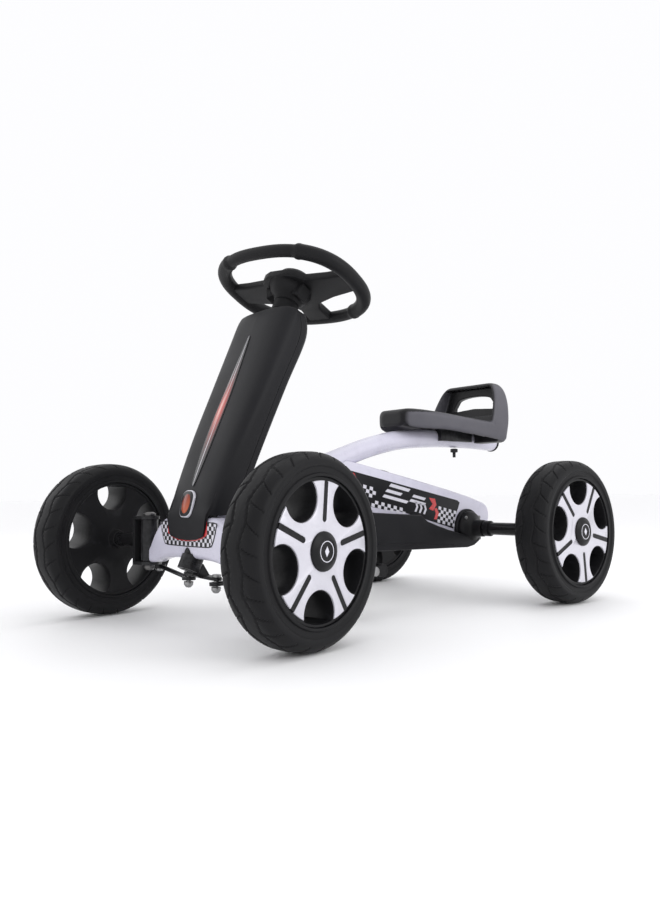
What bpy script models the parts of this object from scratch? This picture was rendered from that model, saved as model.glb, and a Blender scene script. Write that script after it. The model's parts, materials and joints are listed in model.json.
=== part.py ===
"""Pedal go kart for a child, as a many-part assembly.

Metres, +Z up. The kart faces -Y and its left side is +X. Parts are placed in the chassis frame,
whose origin is on the ground under the front axle line, and one empty moves that frame so that the
whole kart is centred on the world origin. The front wheels rest turned a little to the left.
"""

import math

import bmesh
import bpy
from mathutils import Matrix, Vector

# Overall layout
FRONT_AXLE_TO_CENTRE = 0.30280
WHEELBASE = 0.6236
FRONT_TRACK = 0.4754
REAR_TRACK = 0.4854
WHEEL_RADIUS = 0.125
GAP = 0.0003

# Wheels
TYRE_HALF_WIDTH = 0.0305
CROWN_HALF_WIDTH = 0.018
SHOULDER_RADIUS = 0.1137
TYRE_BORE = 0.0930
RIM_RADIUS = TYRE_BORE - GAP
RIM_HALF_WIDTH = 0.0278
SPOKE_COUNT = 5
HOLE_PITCH_RADIUS = 0.0765
HOLE_RADIUS = 0.0285
HOLE_LIMIT_RADIUS = 0.0890
HUBCAP_RADIUS = 0.0877
HUBCAP_THICKNESS = 0.0024
SLOT_WIDTH = 0.0075
SLOT_INNER_RADIUS = 0.040
CAP_RADIUS = 0.0252
CAP_HEIGHT = 0.0062
HUB_BORE = 0.0069
HUB_POCKET_RADIUS = 0.0150
HUB_POCKET_DEPTH = 0.0110
HUB_BOSS_RADIUS = 0.0130
HUB_BOSS_LENGTH = 0.0080
TYRE_STEPS = 32
HALF_STEP = math.pi / TYRE_STEPS

# Steering geometry
COLUMN_TILT = math.radians(24.0)
WHEEL_CENTRE_Y = 0.197
WHEEL_CENTRE_Z = 0.542
STEERING_REST = math.radians(10.8)
KNUCKLE_RATIO = 0.837
ROD_RATIO = 0.8755
KINGPIN_X = 0.125
ARM_OUT = 0.0265
ARM_BACK = 0.0417
OUTER_EYE_Z = 0.0800
PITMAN_PIN_X = 0.0300
PITMAN_PIN_Y = 0.0234
INNER_EYE_Z = 0.0675
ROD_AXIS_OUT = -0.1708
ROD_AXIS_BACK = 0.0891
EYE_RADIUS = 0.0105
INNER_EYE_BORE = 0.0066
OUTER_EYE_BORE = 0.0046
EYE_THICKNESS = 0.0050
ROD_RADIUS = 0.0035
PIN_RADIUS = 0.0035

# Front end
AXLE_HEIGHT = WHEEL_RADIUS
STUB_RADIUS = 0.0065
HOUSING_RADIUS = 0.0135
HOUSING_LOW = 0.0920
HOUSING_HIGH = 0.1580
KINGPIN_RADIUS = 0.0050
FORK_THICKNESS = 0.0050
FORK_RADIUS = 0.0160
CROSSBEAM_Y = 0.0080
CROSSBEAM_DEPTH = 0.0300
CROSSBEAM_SECTIONS = ((0.0, 0.103, 0.165), (0.050, 0.102, 0.164), (0.075, 0.099, 0.158),
                      (0.095, 0.094, 0.141), (0.109, 0.090, 0.122), (0.119, 0.087, 0.112))

# Steering column and wheel
COLUMN_RADIUS = 0.0095
BUSH_WALL = 0.0020
HEAD_TUBE_WALL = 0.0020
HEAD_TUBE_LOW_Z = 0.106
HEAD_TUBE_HIGH_Z = 0.300
COLUMN_LOW_Z = 0.0850
RIM_HALF_X = 0.1260
RIM_HALF_Y = 0.0930
RIM_POWER = 2.35
RIM_TUBE_RADIUS = 0.0105
GRIP_TUBE_RADIUS = 0.0128
GRIP_START_X = 0.070

# Spine tube, from the front crossbeam to the seat: (back, up) along its centre line
SPINE_RADIUS = 0.0185
SPINE_POINTS = ((0.018, 0.142), (0.060, 0.160), (0.130, 0.194), (0.210, 0.227), (0.300, 0.257),
                (0.376, 0.2800), (0.456, 0.2955), (0.542, 0.3020), (0.604, 0.3035), (0.668, 0.3030),
                (0.738, 0.3005))
END_CAP_THICKNESS = 0.0080

# Main beam, a folded channel open below
BEAM_HALF_WIDTH = 0.0200
BEAM_WALL = 0.0025
BEAM_OUTLINE = ((0.130, 0.118), (0.130, 0.205), (0.300, 0.262), (0.345, 0.2555), (0.401, 0.2415),
                (0.454, 0.2300), (0.570, 0.2060), (0.632, 0.1925), (0.692, 0.1795), (0.708, 0.1735),
                (0.7165, 0.160), (0.7165, 0.143), (0.704, 0.120), (0.675, 0.104), (0.600, 0.100),
                (0.520, 0.118))

# Drive
CRANK_Y = 0.215
CRANK_Z = 0.145
CRANK_LENGTH = 0.078
CRANK_REST = math.radians(205.0)
CRANK_AXLE_RADIUS = 0.0075
CRANK_ARM_X = 0.0485
CRANK_ARM_THICKNESS = 0.0070
CHAIN_PITCH = 0.0127
CHAIN_RING_TEETH = 18
REAR_SPROCKET_TEETH = 14
CHAIN_X = 0.0080
CHAIN_WIDTH = 0.0060
CHAIN_HALF_HEIGHT = 0.0038
SPROCKET_THICKNESS = 0.0028
AXLE_RADIUS = 0.0108
AXLE_HUB_RADIUS = 0.0065
COVER_LEFT_X = 0.0400
COVER_RIGHT_X = -0.0240
COVER_WALL = 0.0025
COVER_BOSS_RADIUS = 0.0375
COVER_FRONT_RADIUS = 0.0470
COVER_TOP = ((0.558, 0.117), (0.545, 0.126), (0.515, 0.135), (0.485, 0.143), (0.468, 0.155),
             (0.409, 0.158), (0.345, 0.162))
BEARING_RADIUS = 0.0330

# Pedals
PEDAL_WIDTH = 0.0600
PEDAL_LENGTH = 0.0600
PEDAL_HEIGHT = 0.0200
PEDAL_GAP = 0.0200
SPINDLE_RADIUS = 0.0050

# Fairing over the column: (height, front line y, half width, crease set-back, rear corner y)
FAIRING_SECTIONS = ((0.126, -0.0105, 0.046, 0.0050, 0.050), (0.150, -0.0108, 0.055, 0.0065, 0.055),
                    (0.175, -0.0080, 0.0590, 0.0080, 0.060), (0.208, 0.0020, 0.0620, 0.0095, 0.072),
                    (0.283, 0.0330, 0.0680, 0.0115, 0.104), (0.364, 0.0700, 0.0725, 0.0140, 0.140),
                    (0.441, 0.1045, 0.0750, 0.0160, 0.167), (0.480, 0.1220, 0.0740, 0.0170, 0.166),
                    (0.494, 0.1330, 0.0700, 0.0160, 0.163))
FAIRING_WALL = 0.0025
FAIRING_NOTCH_Z = 0.1670
FAIRING_REAR_DEPTH = 0.0360
BADGE_Z = 0.1830
BADGE_HALF_WIDTH = 0.0165
BADGE_HALF_HEIGHT = 0.0205
BADGE_THICKNESS = 0.0030

# Seat
SEAT_SECTIONS = ((0.434, 0.318, 0.349, 0.034), (0.446, 0.313, 0.352, 0.041), (0.475, 0.310, 0.350, 0.056),
                 (0.510, 0.309, 0.346, 0.070), (0.560, 0.304, 0.341, 0.080), (0.615, 0.299, 0.337, 0.083),
                 (0.655, 0.295, 0.338, 0.083), (0.678, 0.294, 0.346, 0.083))
BACKREST_SECTIONS = ((0.300, 0.655, 0.683, 0.082), (0.345, 0.656, 0.689, 0.084), (0.385, 0.661, 0.692, 0.079),
                     (0.410, 0.664, 0.693, 0.069), (0.424, 0.668, 0.691, 0.056))
SEAT_SKIN = 0.0035
HANDLE_HALF_WIDTH = 0.0480
HANDLE_LOW_Z = 0.3640
HANDLE_HIGH_Z = 0.3960
SEAT_BOLT_Y = 0.6160
SADDLE_WALL = 0.0030


def clear_scene():
    for thing in list(bpy.data.objects):
        bpy.data.objects.remove(thing, do_unlink=True)


def material(name, colour, roughness, metallic=0.0):
    made = bpy.data.materials.new(name)
    made.use_nodes = True
    shader = made.node_tree.nodes["Principled BSDF"]
    shader.inputs["Base Color"].default_value = (*colour, 1.0)
    shader.inputs["Roughness"].default_value = roughness
    shader.inputs["Metallic"].default_value = metallic
    return made


def empty(name, parent=None, location=(0, 0, 0), matrix=None):
    made = bpy.data.objects.new(name, None)
    bpy.context.scene.collection.objects.link(made)
    made.parent = parent
    made.matrix_local = matrix if matrix is not None else Matrix.Translation(location)
    return made


def finish_mesh(bm, name):
    """Merge what meets, face everything outwards and shade it smooth between sharp edges."""
    bmesh.ops.remove_doubles(bm, verts=bm.verts, dist=1e-6)
    bmesh.ops.recalc_face_normals(bm, faces=bm.faces)
    mesh = bpy.data.meshes.new(name)
    bm.to_mesh(mesh)
    bm.free()
    mesh.shade_smooth()
    mesh.set_sharp_from_angle(angle=math.radians(35))
    return mesh


def add(name, mesh, finish, parent, matrix=None):
    """One sub-part from a mesh, which another copy may share."""
    made = bpy.data.objects.new(name, mesh)
    if not mesh.materials:
        mesh.materials.append(finish)
    bpy.context.scene.collection.objects.link(made)
    made.parent = parent
    made.matrix_local = matrix if matrix is not None else Matrix()
    return made


def helper(name, mesh, parent, matrix=None):
    """A hidden shape that a Boolean cuts with or adds."""
    made = bpy.data.objects.new(name, mesh)
    bpy.context.scene.collection.objects.link(made)
    made.parent = parent
    made.matrix_local = matrix if matrix is not None else Matrix()
    made.hide_render = True
    made.display_type = "WIRE"
    return made


def boolean(thing, other, operation):
    step = thing.modifiers.new(operation.title() + " " + other.name, "BOOLEAN")
    step.operation = operation
    step.object = other
    step.solver = "EXACT"


def cut(thing, *others):
    for other in others:
        boolean(thing, other, "DIFFERENCE")


def join(thing, *others):
    for other in others:
        boolean(thing, other, "UNION")


def turned(name, profile, steps, ring=False):
    """A profile of (radius, height) turned about Z. A ring's profile closes on itself."""
    bm = bmesh.new()
    points = [bm.verts.new((radius, 0, height)) for radius, height in profile]
    edges = [bm.edges.new(pair) for pair in zip(points, points[1:])]
    if ring:
        edges.append(bm.edges.new((points[-1], points[0])))
    bmesh.ops.spin(bm, geom=points + edges, axis=(0, 0, 1), cent=(0, 0, 0), steps=steps,
                   angle=math.tau, use_merge=True)
    return finish_mesh(bm, name)


def rod(name, radius, low, high, steps=20, chamfer=0.0):
    """A solid cylinder about Z with chamfered ends."""
    profile = ((0, low), (radius - chamfer, low), (radius, low + chamfer),
               (radius, high - chamfer), (radius - chamfer, high), (0, high))
    if chamfer == 0.0:
        profile = ((0, low), (radius, low), (radius, high), (0, high))
    return turned(name, profile, steps)


def sleeve(name, outer, inner, low, high, steps=20):
    return turned(name, ((inner, low), (outer, low), (outer, high), (inner, high)), steps, ring=True)


def prism(name, outline, low, high, place):
    """An outline extruded between two levels. place(a, b, level) gives a point in space."""
    bm = bmesh.new()
    face = bm.faces.new([bm.verts.new(place(a, b, low)) for a, b in outline])
    shift = Vector(place(0, 0, high)) - Vector(place(0, 0, low))
    extruded = bmesh.ops.extrude_face_region(bm, geom=[face])["geom"]
    moved = [item for item in extruded if isinstance(item, bmesh.types.BMVert)]
    bmesh.ops.translate(bm, verts=moved, vec=shift)
    return finish_mesh(bm, name)


def loft(name, rings, closed=False):
    """Skin a list of rings with equal point counts, capping the ends of an open run."""
    bm = bmesh.new()
    rows = [[bm.verts.new(point) for point in ring] for ring in rings]
    pairs = list(zip(rows, rows[1:] + rows[:1])) if closed else list(zip(rows, rows[1:]))
    for one, two in pairs:
        for i in range(len(one)):
            j = (i + 1) % len(one)
            bm.faces.new((one[i], one[j], two[j], two[i]))
    if not closed:
        bm.faces.new(rows[0])
        bm.faces.new(rows[-1])
    return finish_mesh(bm, name)


def across(a, b, level):
    """Outline in (back, up), extruded across the kart."""
    return (level, a, b)


def flat(a, b, level):
    """Outline in (across, back), extruded upwards."""
    return (a, b, level)


def circle_points(radius, count, centre=(0, 0), start=0.0, sweep=math.tau):
    span = count if abs(sweep - math.tau) < 1e-9 else count - 1
    angles = [start + sweep * i / span for i in range(count)]
    return [(centre[0] + radius * math.cos(a), centre[1] + radius * math.sin(a)) for a in angles]


def rounded_box(half_a, half_b, radius, corner=3):
    """Outline of a rectangle with round corners, centred on the origin."""
    outline = []
    for turn, (side_a, side_b) in enumerate(((1, 1), (-1, 1), (-1, -1), (1, -1))):
        centre = (side_a * (half_a - radius), side_b * (half_b - radius))
        outline += circle_points(radius, corner + 1, centre, turn * math.pi / 2, math.pi / 2)
    return outline


def inset(outline, distance):
    """Move each side of a counter-clockwise outline inwards."""
    moved = []
    count = len(outline)
    for i in range(count):
        before, here, after = (Vector(outline[(i + k) % count]) for k in (-1, 0, 1))
        first = (here - before).normalized()
        second = (after - here).normalized()
        normals = Vector((-first.y, first.x)) + Vector((-second.y, second.x))
        reach = distance / max(0.25, normals.length_squared / 2)
        moved.append(tuple(here + normals * reach))
    return moved


def smooth_path(points, steps):
    """A Catmull-Rom curve through the points."""
    ends = [points[0]] + list(points) + [points[-1]]
    knots = [Vector(p) for p in ends]
    path = []
    for a, b, c, d in zip(knots, knots[1:], knots[2:], knots[3:]):
        for i in range(steps):
            t = i / steps
            path.append(0.5 * (2 * b + (c - a) * t + (2 * a - 5 * b + 4 * c - d) * t ** 2
                               + (3 * b - a - 3 * c + d) * t ** 3))
    path.append(knots[-1])
    return path


def sweep(name, path, radii, sides=14, closed=False, side_axis=Vector((1, 0, 0))):
    """A round bar along a path that lies in the plane square to side_axis."""
    rings = []
    count = len(path)
    for i, point in enumerate(path):
        before = path[i - 1] if closed or i > 0 else point
        after = path[(i + 1) % count] if closed or i < count - 1 else point
        ahead = (after - before).normalized()
        up = ahead.cross(side_axis).normalized()
        radius = radii[i] if isinstance(radii, (list, tuple)) else radii
        angles = [math.tau * k / sides for k in range(sides)]
        rings.append([point + radius * (side_axis * math.cos(a) + up * math.sin(a)) for a in angles])
    return loft(name, rings, closed)


def about_x(angle):
    return Matrix.Rotation(angle, 4, "X")


def about_z(angle):
    return Matrix.Rotation(angle, 4, "Z")


def move(x, y, z):
    return Matrix.Translation((x, y, z))


ALONG_X = Matrix.Rotation(math.pi / 2, 4, "Y")


def column_frame(height):
    """A frame on the column axis at this height above ground, with Z up the column."""
    back = WHEEL_CENTRE_Y + (height - WHEEL_CENTRE_Z) * math.tan(COLUMN_TILT)
    return move(0, back, height) @ about_x(-COLUMN_TILT)


def up_column(height_from, height_to):
    """The distance along the column between two heights."""
    return (height_to - height_from) / math.cos(COLUMN_TILT)


# Wheels

def hole_outline(angle, radius, limit):
    """A round hole between spokes, kept inside a limiting radius."""
    centre = (HOLE_PITCH_RADIUS * math.cos(angle), HOLE_PITCH_RADIUS * math.sin(angle))
    outline = []
    for a, b in circle_points(radius, 16, centre, angle + 0.05):
        reach = math.hypot(a, b)
        scale = min(1.0, limit / reach)
        outline.append((a * scale, b * scale))
    return outline


def spoke_angle(index, half=0.0):
    return math.tau * (index + half) / SPOKE_COUNT


def tyre_mesh():
    profile = []
    outer = ((TYRE_HALF_WIDTH, TYRE_BORE), (TYRE_HALF_WIDTH, SHOULDER_RADIUS), (0.0262, 0.1197),
             (CROWN_HALF_WIDTH, 0.1240), (0.0085, 0.1248), (0.0, WHEEL_RADIUS))
    flats = math.cos(HALF_STEP)
    for side, points in ((-1, outer), (1, tuple(reversed(outer[:-1])))):
        for width, radius in points:
            profile.append((radius if radius == TYRE_BORE else radius / flats, side * width))
    return turned("tyre", profile, TYRE_STEPS, ring=True)


def rim_meshes():
    """The plastic wheel body with Z outwards, and the cutters for its holes and hub."""
    inner = -RIM_HALF_WIDTH
    profile = ((0, inner - HUB_BOSS_LENGTH), (HUB_BOSS_RADIUS, inner - HUB_BOSS_LENGTH),
               (HUB_BOSS_RADIUS + 0.003, inner), (RIM_RADIUS, inner), (RIM_RADIUS, RIM_HALF_WIDTH),
               (0, RIM_HALF_WIDTH))
    body = turned("wheel_body", profile, TYRE_STEPS)
    holes = [prism("wheel_hole", hole_outline(spoke_angle(i, 0.5), HOLE_RADIUS, HOLE_LIMIT_RADIUS),
                   -0.05, 0.05, flat) for i in range(SPOKE_COUNT)]
    bore = rod("wheel_bore", HUB_BORE, -0.06, 0.06)
    pocket = rod("wheel_pocket", HUB_POCKET_RADIUS, RIM_HALF_WIDTH - HUB_POCKET_DEPTH, 0.06)
    return body, holes + [bore, pocket]


def rotated(points, angle):
    cosine, sine = math.cos(angle), math.sin(angle)
    return [(a * cosine - b * sine, a * sine + b * cosine) for a, b in points]


def hubcap_outline():
    """Edge of the trim, with a round bay between spokes and a slot along each spoke."""
    bay = HOLE_RADIUS + 0.0012
    opening = math.acos((HUBCAP_RADIUS ** 2 + HOLE_PITCH_RADIUS ** 2 - bay ** 2)
                        / (2 * HUBCAP_RADIUS * HOLE_PITCH_RADIUS))
    slot_half = math.asin(SLOT_WIDTH / 2 / HUBCAP_RADIUS)
    half_pitch = math.pi / SPOKE_COUNT
    land = half_pitch - opening - slot_half
    start = math.atan2(HUBCAP_RADIUS * math.sin(opening),
                       HUBCAP_RADIUS * math.cos(opening) - HOLE_PITCH_RADIUS)
    bay_arc = circle_points(bay, 13, (HOLE_PITCH_RADIUS, 0), -start, 2 * start - math.tau)[1:-1]
    sector = circle_points(HUBCAP_RADIUS, 4, (0, 0), opening - half_pitch, land)
    sector += circle_points(SLOT_WIDTH / 2, 6, (SLOT_INNER_RADIUS, 0), -math.pi / 2, -math.pi)
    sector += circle_points(HUBCAP_RADIUS, 4, (0, 0), slot_half, land)
    sector += rotated(bay_arc, half_pitch)
    outline = []
    for i in range(SPOKE_COUNT):
        outline += rotated(sector, spoke_angle(i))
    return outline


def hubcap_mesh():
    """The silver five-spoke trim with Z outwards."""
    low = RIM_HALF_WIDTH + GAP
    high = low + HUBCAP_THICKNESS
    bevel = 0.0006
    outline = hubcap_outline()
    rings = [[(a, b, low) for a, b in outline], [(a, b, high - bevel) for a, b in outline],
             [(a, b, high) for a, b in inset(outline, bevel)]]
    return loft("hubcap_disc", rings)


def cap_mesh():
    """The black centre cap, hollow behind to clear the axle nut."""
    low = RIM_HALF_WIDTH + GAP + HUBCAP_THICKNESS + GAP
    profile = ((0, low + CAP_HEIGHT - 0.0022), (0.0100, low + CAP_HEIGHT - 0.0026), (0.0140, low),
               (CAP_RADIUS, low), (CAP_RADIUS - 0.0008, low + 0.0028), (0.0200, low + CAP_HEIGHT - 0.0010),
               (0.0165, low + CAP_HEIGHT), (0, low + CAP_HEIGHT))
    return turned("cap_disc", profile, 24)


def make_wheels(hubs, finishes):
    tyre = tyre_mesh()
    body, body_cutters = rim_meshes()
    trim = hubcap_mesh()
    cap = cap_mesh()
    for name, hub in hubs.items():
        add("tyre_" + name, tyre, finishes["tyre"], hub)
        rim = add("wheel_rim_" + name, body, finishes["black_plastic"], hub)
        cut(rim, *[helper("cut_rim_" + name, mesh, hub) for mesh in body_cutters])
        add("hubcap_" + name, trim, finishes["silver"], hub)
        add("centre_cap_" + name, cap, finishes["black_plastic"], hub)


def wheel_frame(side, half_steps):
    """Wheel axis outwards on this side, with spoke slot number 0 turned from straight up.

    An odd number of half steps leaves one flat of the tyre on the ground.
    """
    outwards = Matrix(((0, 0, side, 0), (0, side, 0, 0), (-1, 0, 0, 0), (0, 0, 0, 1)))
    spoke_up = math.pi - side * half_steps * HALF_STEP
    return outwards @ about_z(spoke_up)


# Chassis

def spine_path(steps=2):
    return [Vector((0, back, up)) for back, up in
            (point[:2] for point in smooth_path([(b, u, 0) for b, u in SPINE_POINTS], steps))]


def make_spine(chassis, finishes):
    spine = add("spine_tube", sweep("spine_tube", spine_path(), SPINE_RADIUS, 16),
                finishes["white_paint"], chassis)
    head = rod("head_space", COLUMN_RADIUS + BUSH_WALL + HEAD_TUBE_WALL + 3 * GAP, -0.05, 0.3)
    front = prism("front_space", ((-0.1, 0), (CROSSBEAM_Y + CROSSBEAM_DEPTH / 2 + GAP, 0),
                                  (CROSSBEAM_Y + CROSSBEAM_DEPTH / 2 + GAP, 0.3), (-0.1, 0.3)),
                  -0.1, 0.1, across)
    cut(spine, helper("cut_spine_head", head, chassis, column_frame(HEAD_TUBE_LOW_Z)),
        helper("cut_spine_front", front, chassis))
    last, before = spine_path()[-1], spine_path()[-2]
    ahead = (last - before).normalized()
    cap = turned("end_cap", ((0, GAP), (SPINE_RADIUS, GAP), (SPINE_RADIUS + 0.0008, 0.002),
                             (SPINE_RADIUS + 0.0008, END_CAP_THICKNESS - 0.004),
                             (SPINE_RADIUS - 0.003, END_CAP_THICKNESS), (0, END_CAP_THICKNESS)), 20)
    turn = Vector((0, 0, 1)).rotation_difference(ahead).to_matrix().to_4x4()
    add("spine_end_cap", cap, finishes["black_plastic"], chassis, Matrix.Translation(last) @ turn)


def make_beam(chassis, finishes):
    clockwise = list(BEAM_OUTLINE)
    outline = clockwise[::-1]
    beam = add("main_beam", prism("main_beam", outline, -BEAM_HALF_WIDTH, BEAM_HALF_WIDTH, across),
               finishes["white_paint"], chassis)
    inner = inset(outline, BEAM_WALL)
    hollow = [(back, up if up > 0.13 else up - 0.08) for back, up in inner]
    room = prism("beam_room", hollow, BEAM_WALL - BEAM_HALF_WIDTH, BEAM_HALF_WIDTH - BEAM_WALL, across)
    tube = sweep("spine_space", spine_path(), SPINE_RADIUS + GAP, 16)
    crank = rod("crank_space", 0.0125, -0.1, 0.1)
    axle = rod("axle_space", 0.0165, -0.1, 0.1)
    cut(beam, helper("cut_beam_room", room, chassis), helper("cut_beam_spine", tube, chassis),
        helper("cut_beam_crank", crank, chassis, move(0, CRANK_Y, CRANK_Z) @ ALONG_X),
        helper("cut_beam_axle", axle, chassis, move(0, WHEELBASE, AXLE_HEIGHT) @ ALONG_X))


def make_crossbeam(chassis, finishes):
    stations = [(-x, low, high) for x, low, high in reversed(CROSSBEAM_SECTIONS[1:])]
    stations += list(CROSSBEAM_SECTIONS)
    rings = []
    for x, low, high in stations:
        outline = rounded_box(CROSSBEAM_DEPTH / 2, (high - low) / 2, 0.007, 2)
        rings.append([(x, CROSSBEAM_Y + a, (low + high) / 2 + b) for a, b in outline])
    beam = add("front_crossbeam", loft("front_crossbeam", rings), finishes["white_paint"], chassis)
    head = rod("beam_head_space", COLUMN_RADIUS + BUSH_WALL + HEAD_TUBE_WALL + 3 * GAP, -0.05, 0.3)
    collar = rod("collar_space", 0.0178, -0.05, up_column(COLUMN_LOW_Z, HEAD_TUBE_LOW_Z) + 0.0005)
    cut(beam, helper("cut_crossbeam_head", head, chassis, column_frame(HEAD_TUBE_LOW_Z)),
        helper("cut_crossbeam_collar", collar, chassis, column_frame(COLUMN_LOW_Z)))
    for side in (1, -1):
        space = rod("kingpin_space", HOUSING_RADIUS + GAP, 0.0, 0.3)
        fork = prism("fork_space", rounded_box(0.030, 0.030, 0.005), 0.0, HOUSING_LOW - GAP, flat)
        cut(beam, helper("cut_crossbeam_housing", space, chassis, move(side * KINGPIN_X, 0, 0)),
            helper("cut_crossbeam_fork", fork, chassis, move(side * KINGPIN_X, 0, 0)))
        name = "left" if side > 0 else "right"
        housing = sleeve("kingpin_housing", HOUSING_RADIUS, KINGPIN_RADIUS + GAP, HOUSING_LOW,
                         HOUSING_HIGH, 24)
        add("kingpin_housing_" + name, housing, finishes["black_metal"], chassis,
            move(side * KINGPIN_X, 0, 0))


def make_head_tube(chassis, finishes):
    length = up_column(HEAD_TUBE_LOW_Z, HEAD_TUBE_HIGH_Z)
    inner = COLUMN_RADIUS + BUSH_WALL + 2 * GAP
    tube = sleeve("head_tube", inner + HEAD_TUBE_WALL, inner, 0, length, 24)
    add("head_tube", tube, finishes["black_metal"], chassis, column_frame(HEAD_TUBE_LOW_Z))
    bush_length = 0.018
    lip = 0.0018
    outer = COLUMN_RADIUS + GAP + BUSH_WALL
    bore = COLUMN_RADIUS + GAP
    upper = turned("upper_bush", ((bore, length - bush_length), (outer, length - bush_length),
                                  (outer, length + GAP), (outer + 0.003, length + GAP),
                                  (outer + 0.003, length + lip), (bore, length + lip)), 24, ring=True)
    lower = sleeve("lower_bush", outer, bore, 0.001, bush_length, 24)
    add("column_bush_upper", upper, finishes["nylon"], chassis, column_frame(HEAD_TUBE_LOW_Z))
    add("column_bush_lower", lower, finishes["nylon"], chassis, column_frame(HEAD_TUBE_LOW_Z))


def fairing_ring(section, shrink):
    """Points round the fairing at one height, counter-clockwise seen from above."""
    height, front, half, setback, corner = section
    half -= shrink
    front += shrink
    corner -= shrink
    back = corner + FAIRING_REAR_DEPTH
    right_side = [(0.0, front), (half * 0.5, front + setback * 0.12), (half * 0.82, front + setback * 0.50),
                  (half, front + setback + 0.004), (half * 0.99, corner - 0.004),
                  (half * 0.90, corner + 0.006), (half * 0.62, back - 0.012), (half * 0.30, back - 0.002)]
    left_side = [(-a, b) for a, b in reversed(right_side[1:])]
    return [(a, b, height) for a, b in right_side + left_side]


def make_fairing(chassis, finishes):
    lifted = (FAIRING_SECTIONS[-1][0] + 0.004,) + tuple(
        value * scale for value, scale in zip(FAIRING_SECTIONS[-1][1:], (1.04, 0.90, 0.6, 0.99)))
    outer = [fairing_ring(section, 0.0) for section in FAIRING_SECTIONS + (lifted,)]
    inner = [fairing_ring(section, FAIRING_WALL) for section in FAIRING_SECTIONS]
    inner[0] = [(a, b, c - 0.02) for a, b, c in inner[0]]
    tube = sweep("fairing_spine_space", spine_path(), SPINE_RADIUS + 0.0015, 16)
    seam = [(section[4] - 0.010, section[0]) for section in FAIRING_SECTIONS]
    seam = [(seam[0][0] - 0.01, 0.05)] + seam + [(seam[-1][0], 0.60)]
    behind = [(0.4, 0.60), (0.4, 0.05)]
    parts = {"fairing_front": ("DIFFERENCE", seam + behind),
             "fairing_rear": ("INTERSECT", [(back + GAP, up) for back, up in seam] + behind)}
    notch = ((CROSSBEAM_Y - CROSSBEAM_DEPTH / 2 - 0.0010, 0.0), (0.3, 0.0), (0.3, FAIRING_NOTCH_Z),
             (CROSSBEAM_Y - CROSSBEAM_DEPTH / 2 - 0.0010, FAIRING_NOTCH_Z))
    for name, (operation, outline) in parts.items():
        shell = add(name, loft(name, outer), finishes["black_plastic"], chassis)
        bore = rod("column_space", COLUMN_RADIUS + 0.0025, 0, 0.6)
        half = prism("fairing_half", outline, -0.15, 0.15, across)
        boolean(shell, helper("half_" + name, half, chassis), operation)
        cut(shell, helper("cut_room_" + name, loft("fairing_room", inner), chassis),
            helper("cut_notch_" + name, prism("fairing_notch", notch, -0.2, 0.2, across), chassis),
            helper("cut_spine_" + name, tube, chassis),
            helper("cut_column_" + name, bore, chassis, column_frame(0.30)))
    make_badge(chassis, finishes)


def fairing_front_at(height):
    """Front centre line of the fairing at a height."""
    for low, high in zip(FAIRING_SECTIONS, FAIRING_SECTIONS[1:]):
        if low[0] <= height <= high[0]:
            share = (height - low[0]) / (high[0] - low[0])
            return low[1] + share * (high[1] - low[1])
    return FAIRING_SECTIONS[-1][1]


def make_badge(chassis, finishes):
    low = Vector((0, fairing_front_at(BADGE_Z - BADGE_HALF_HEIGHT), BADGE_Z - BADGE_HALF_HEIGHT))
    high = Vector((0, fairing_front_at(BADGE_Z + BADGE_HALF_HEIGHT), BADGE_Z + BADGE_HALF_HEIGHT))
    lean = math.atan2(high.y - low.y, high.z - low.z)
    outline = rounded_box(BADGE_HALF_WIDTH, BADGE_HALF_HEIGHT, 0.009, 4)
    small = rounded_box(BADGE_HALF_WIDTH - 0.0015, BADGE_HALF_HEIGHT - 0.0015, 0.0078, 4)
    rings = [[(a, 0, b) for a, b in outline], [(a, -BADGE_THICKNESS + 0.001, b) for a, b in outline],
             [(a, -BADGE_THICKNESS, b) for a, b in small]]
    middle = (low + high) / 2
    place = Matrix.Translation(middle - Vector((0, 0.0018, 0))) @ about_x(-lean)
    add("badge", loft("badge", rings), finishes["silver"], chassis, place)


# Steering

def make_column(steering, finishes):
    top = up_column(COLUMN_LOW_Z, WHEEL_CENTRE_Z) - 0.0110
    add("steering_column", rod("steering_column", COLUMN_RADIUS, 0.0, top, 20, 0.001),
        finishes["black_metal"], steering, move(0, 0, -up_column(COLUMN_LOW_Z, WHEEL_CENTRE_Z)))


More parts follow.
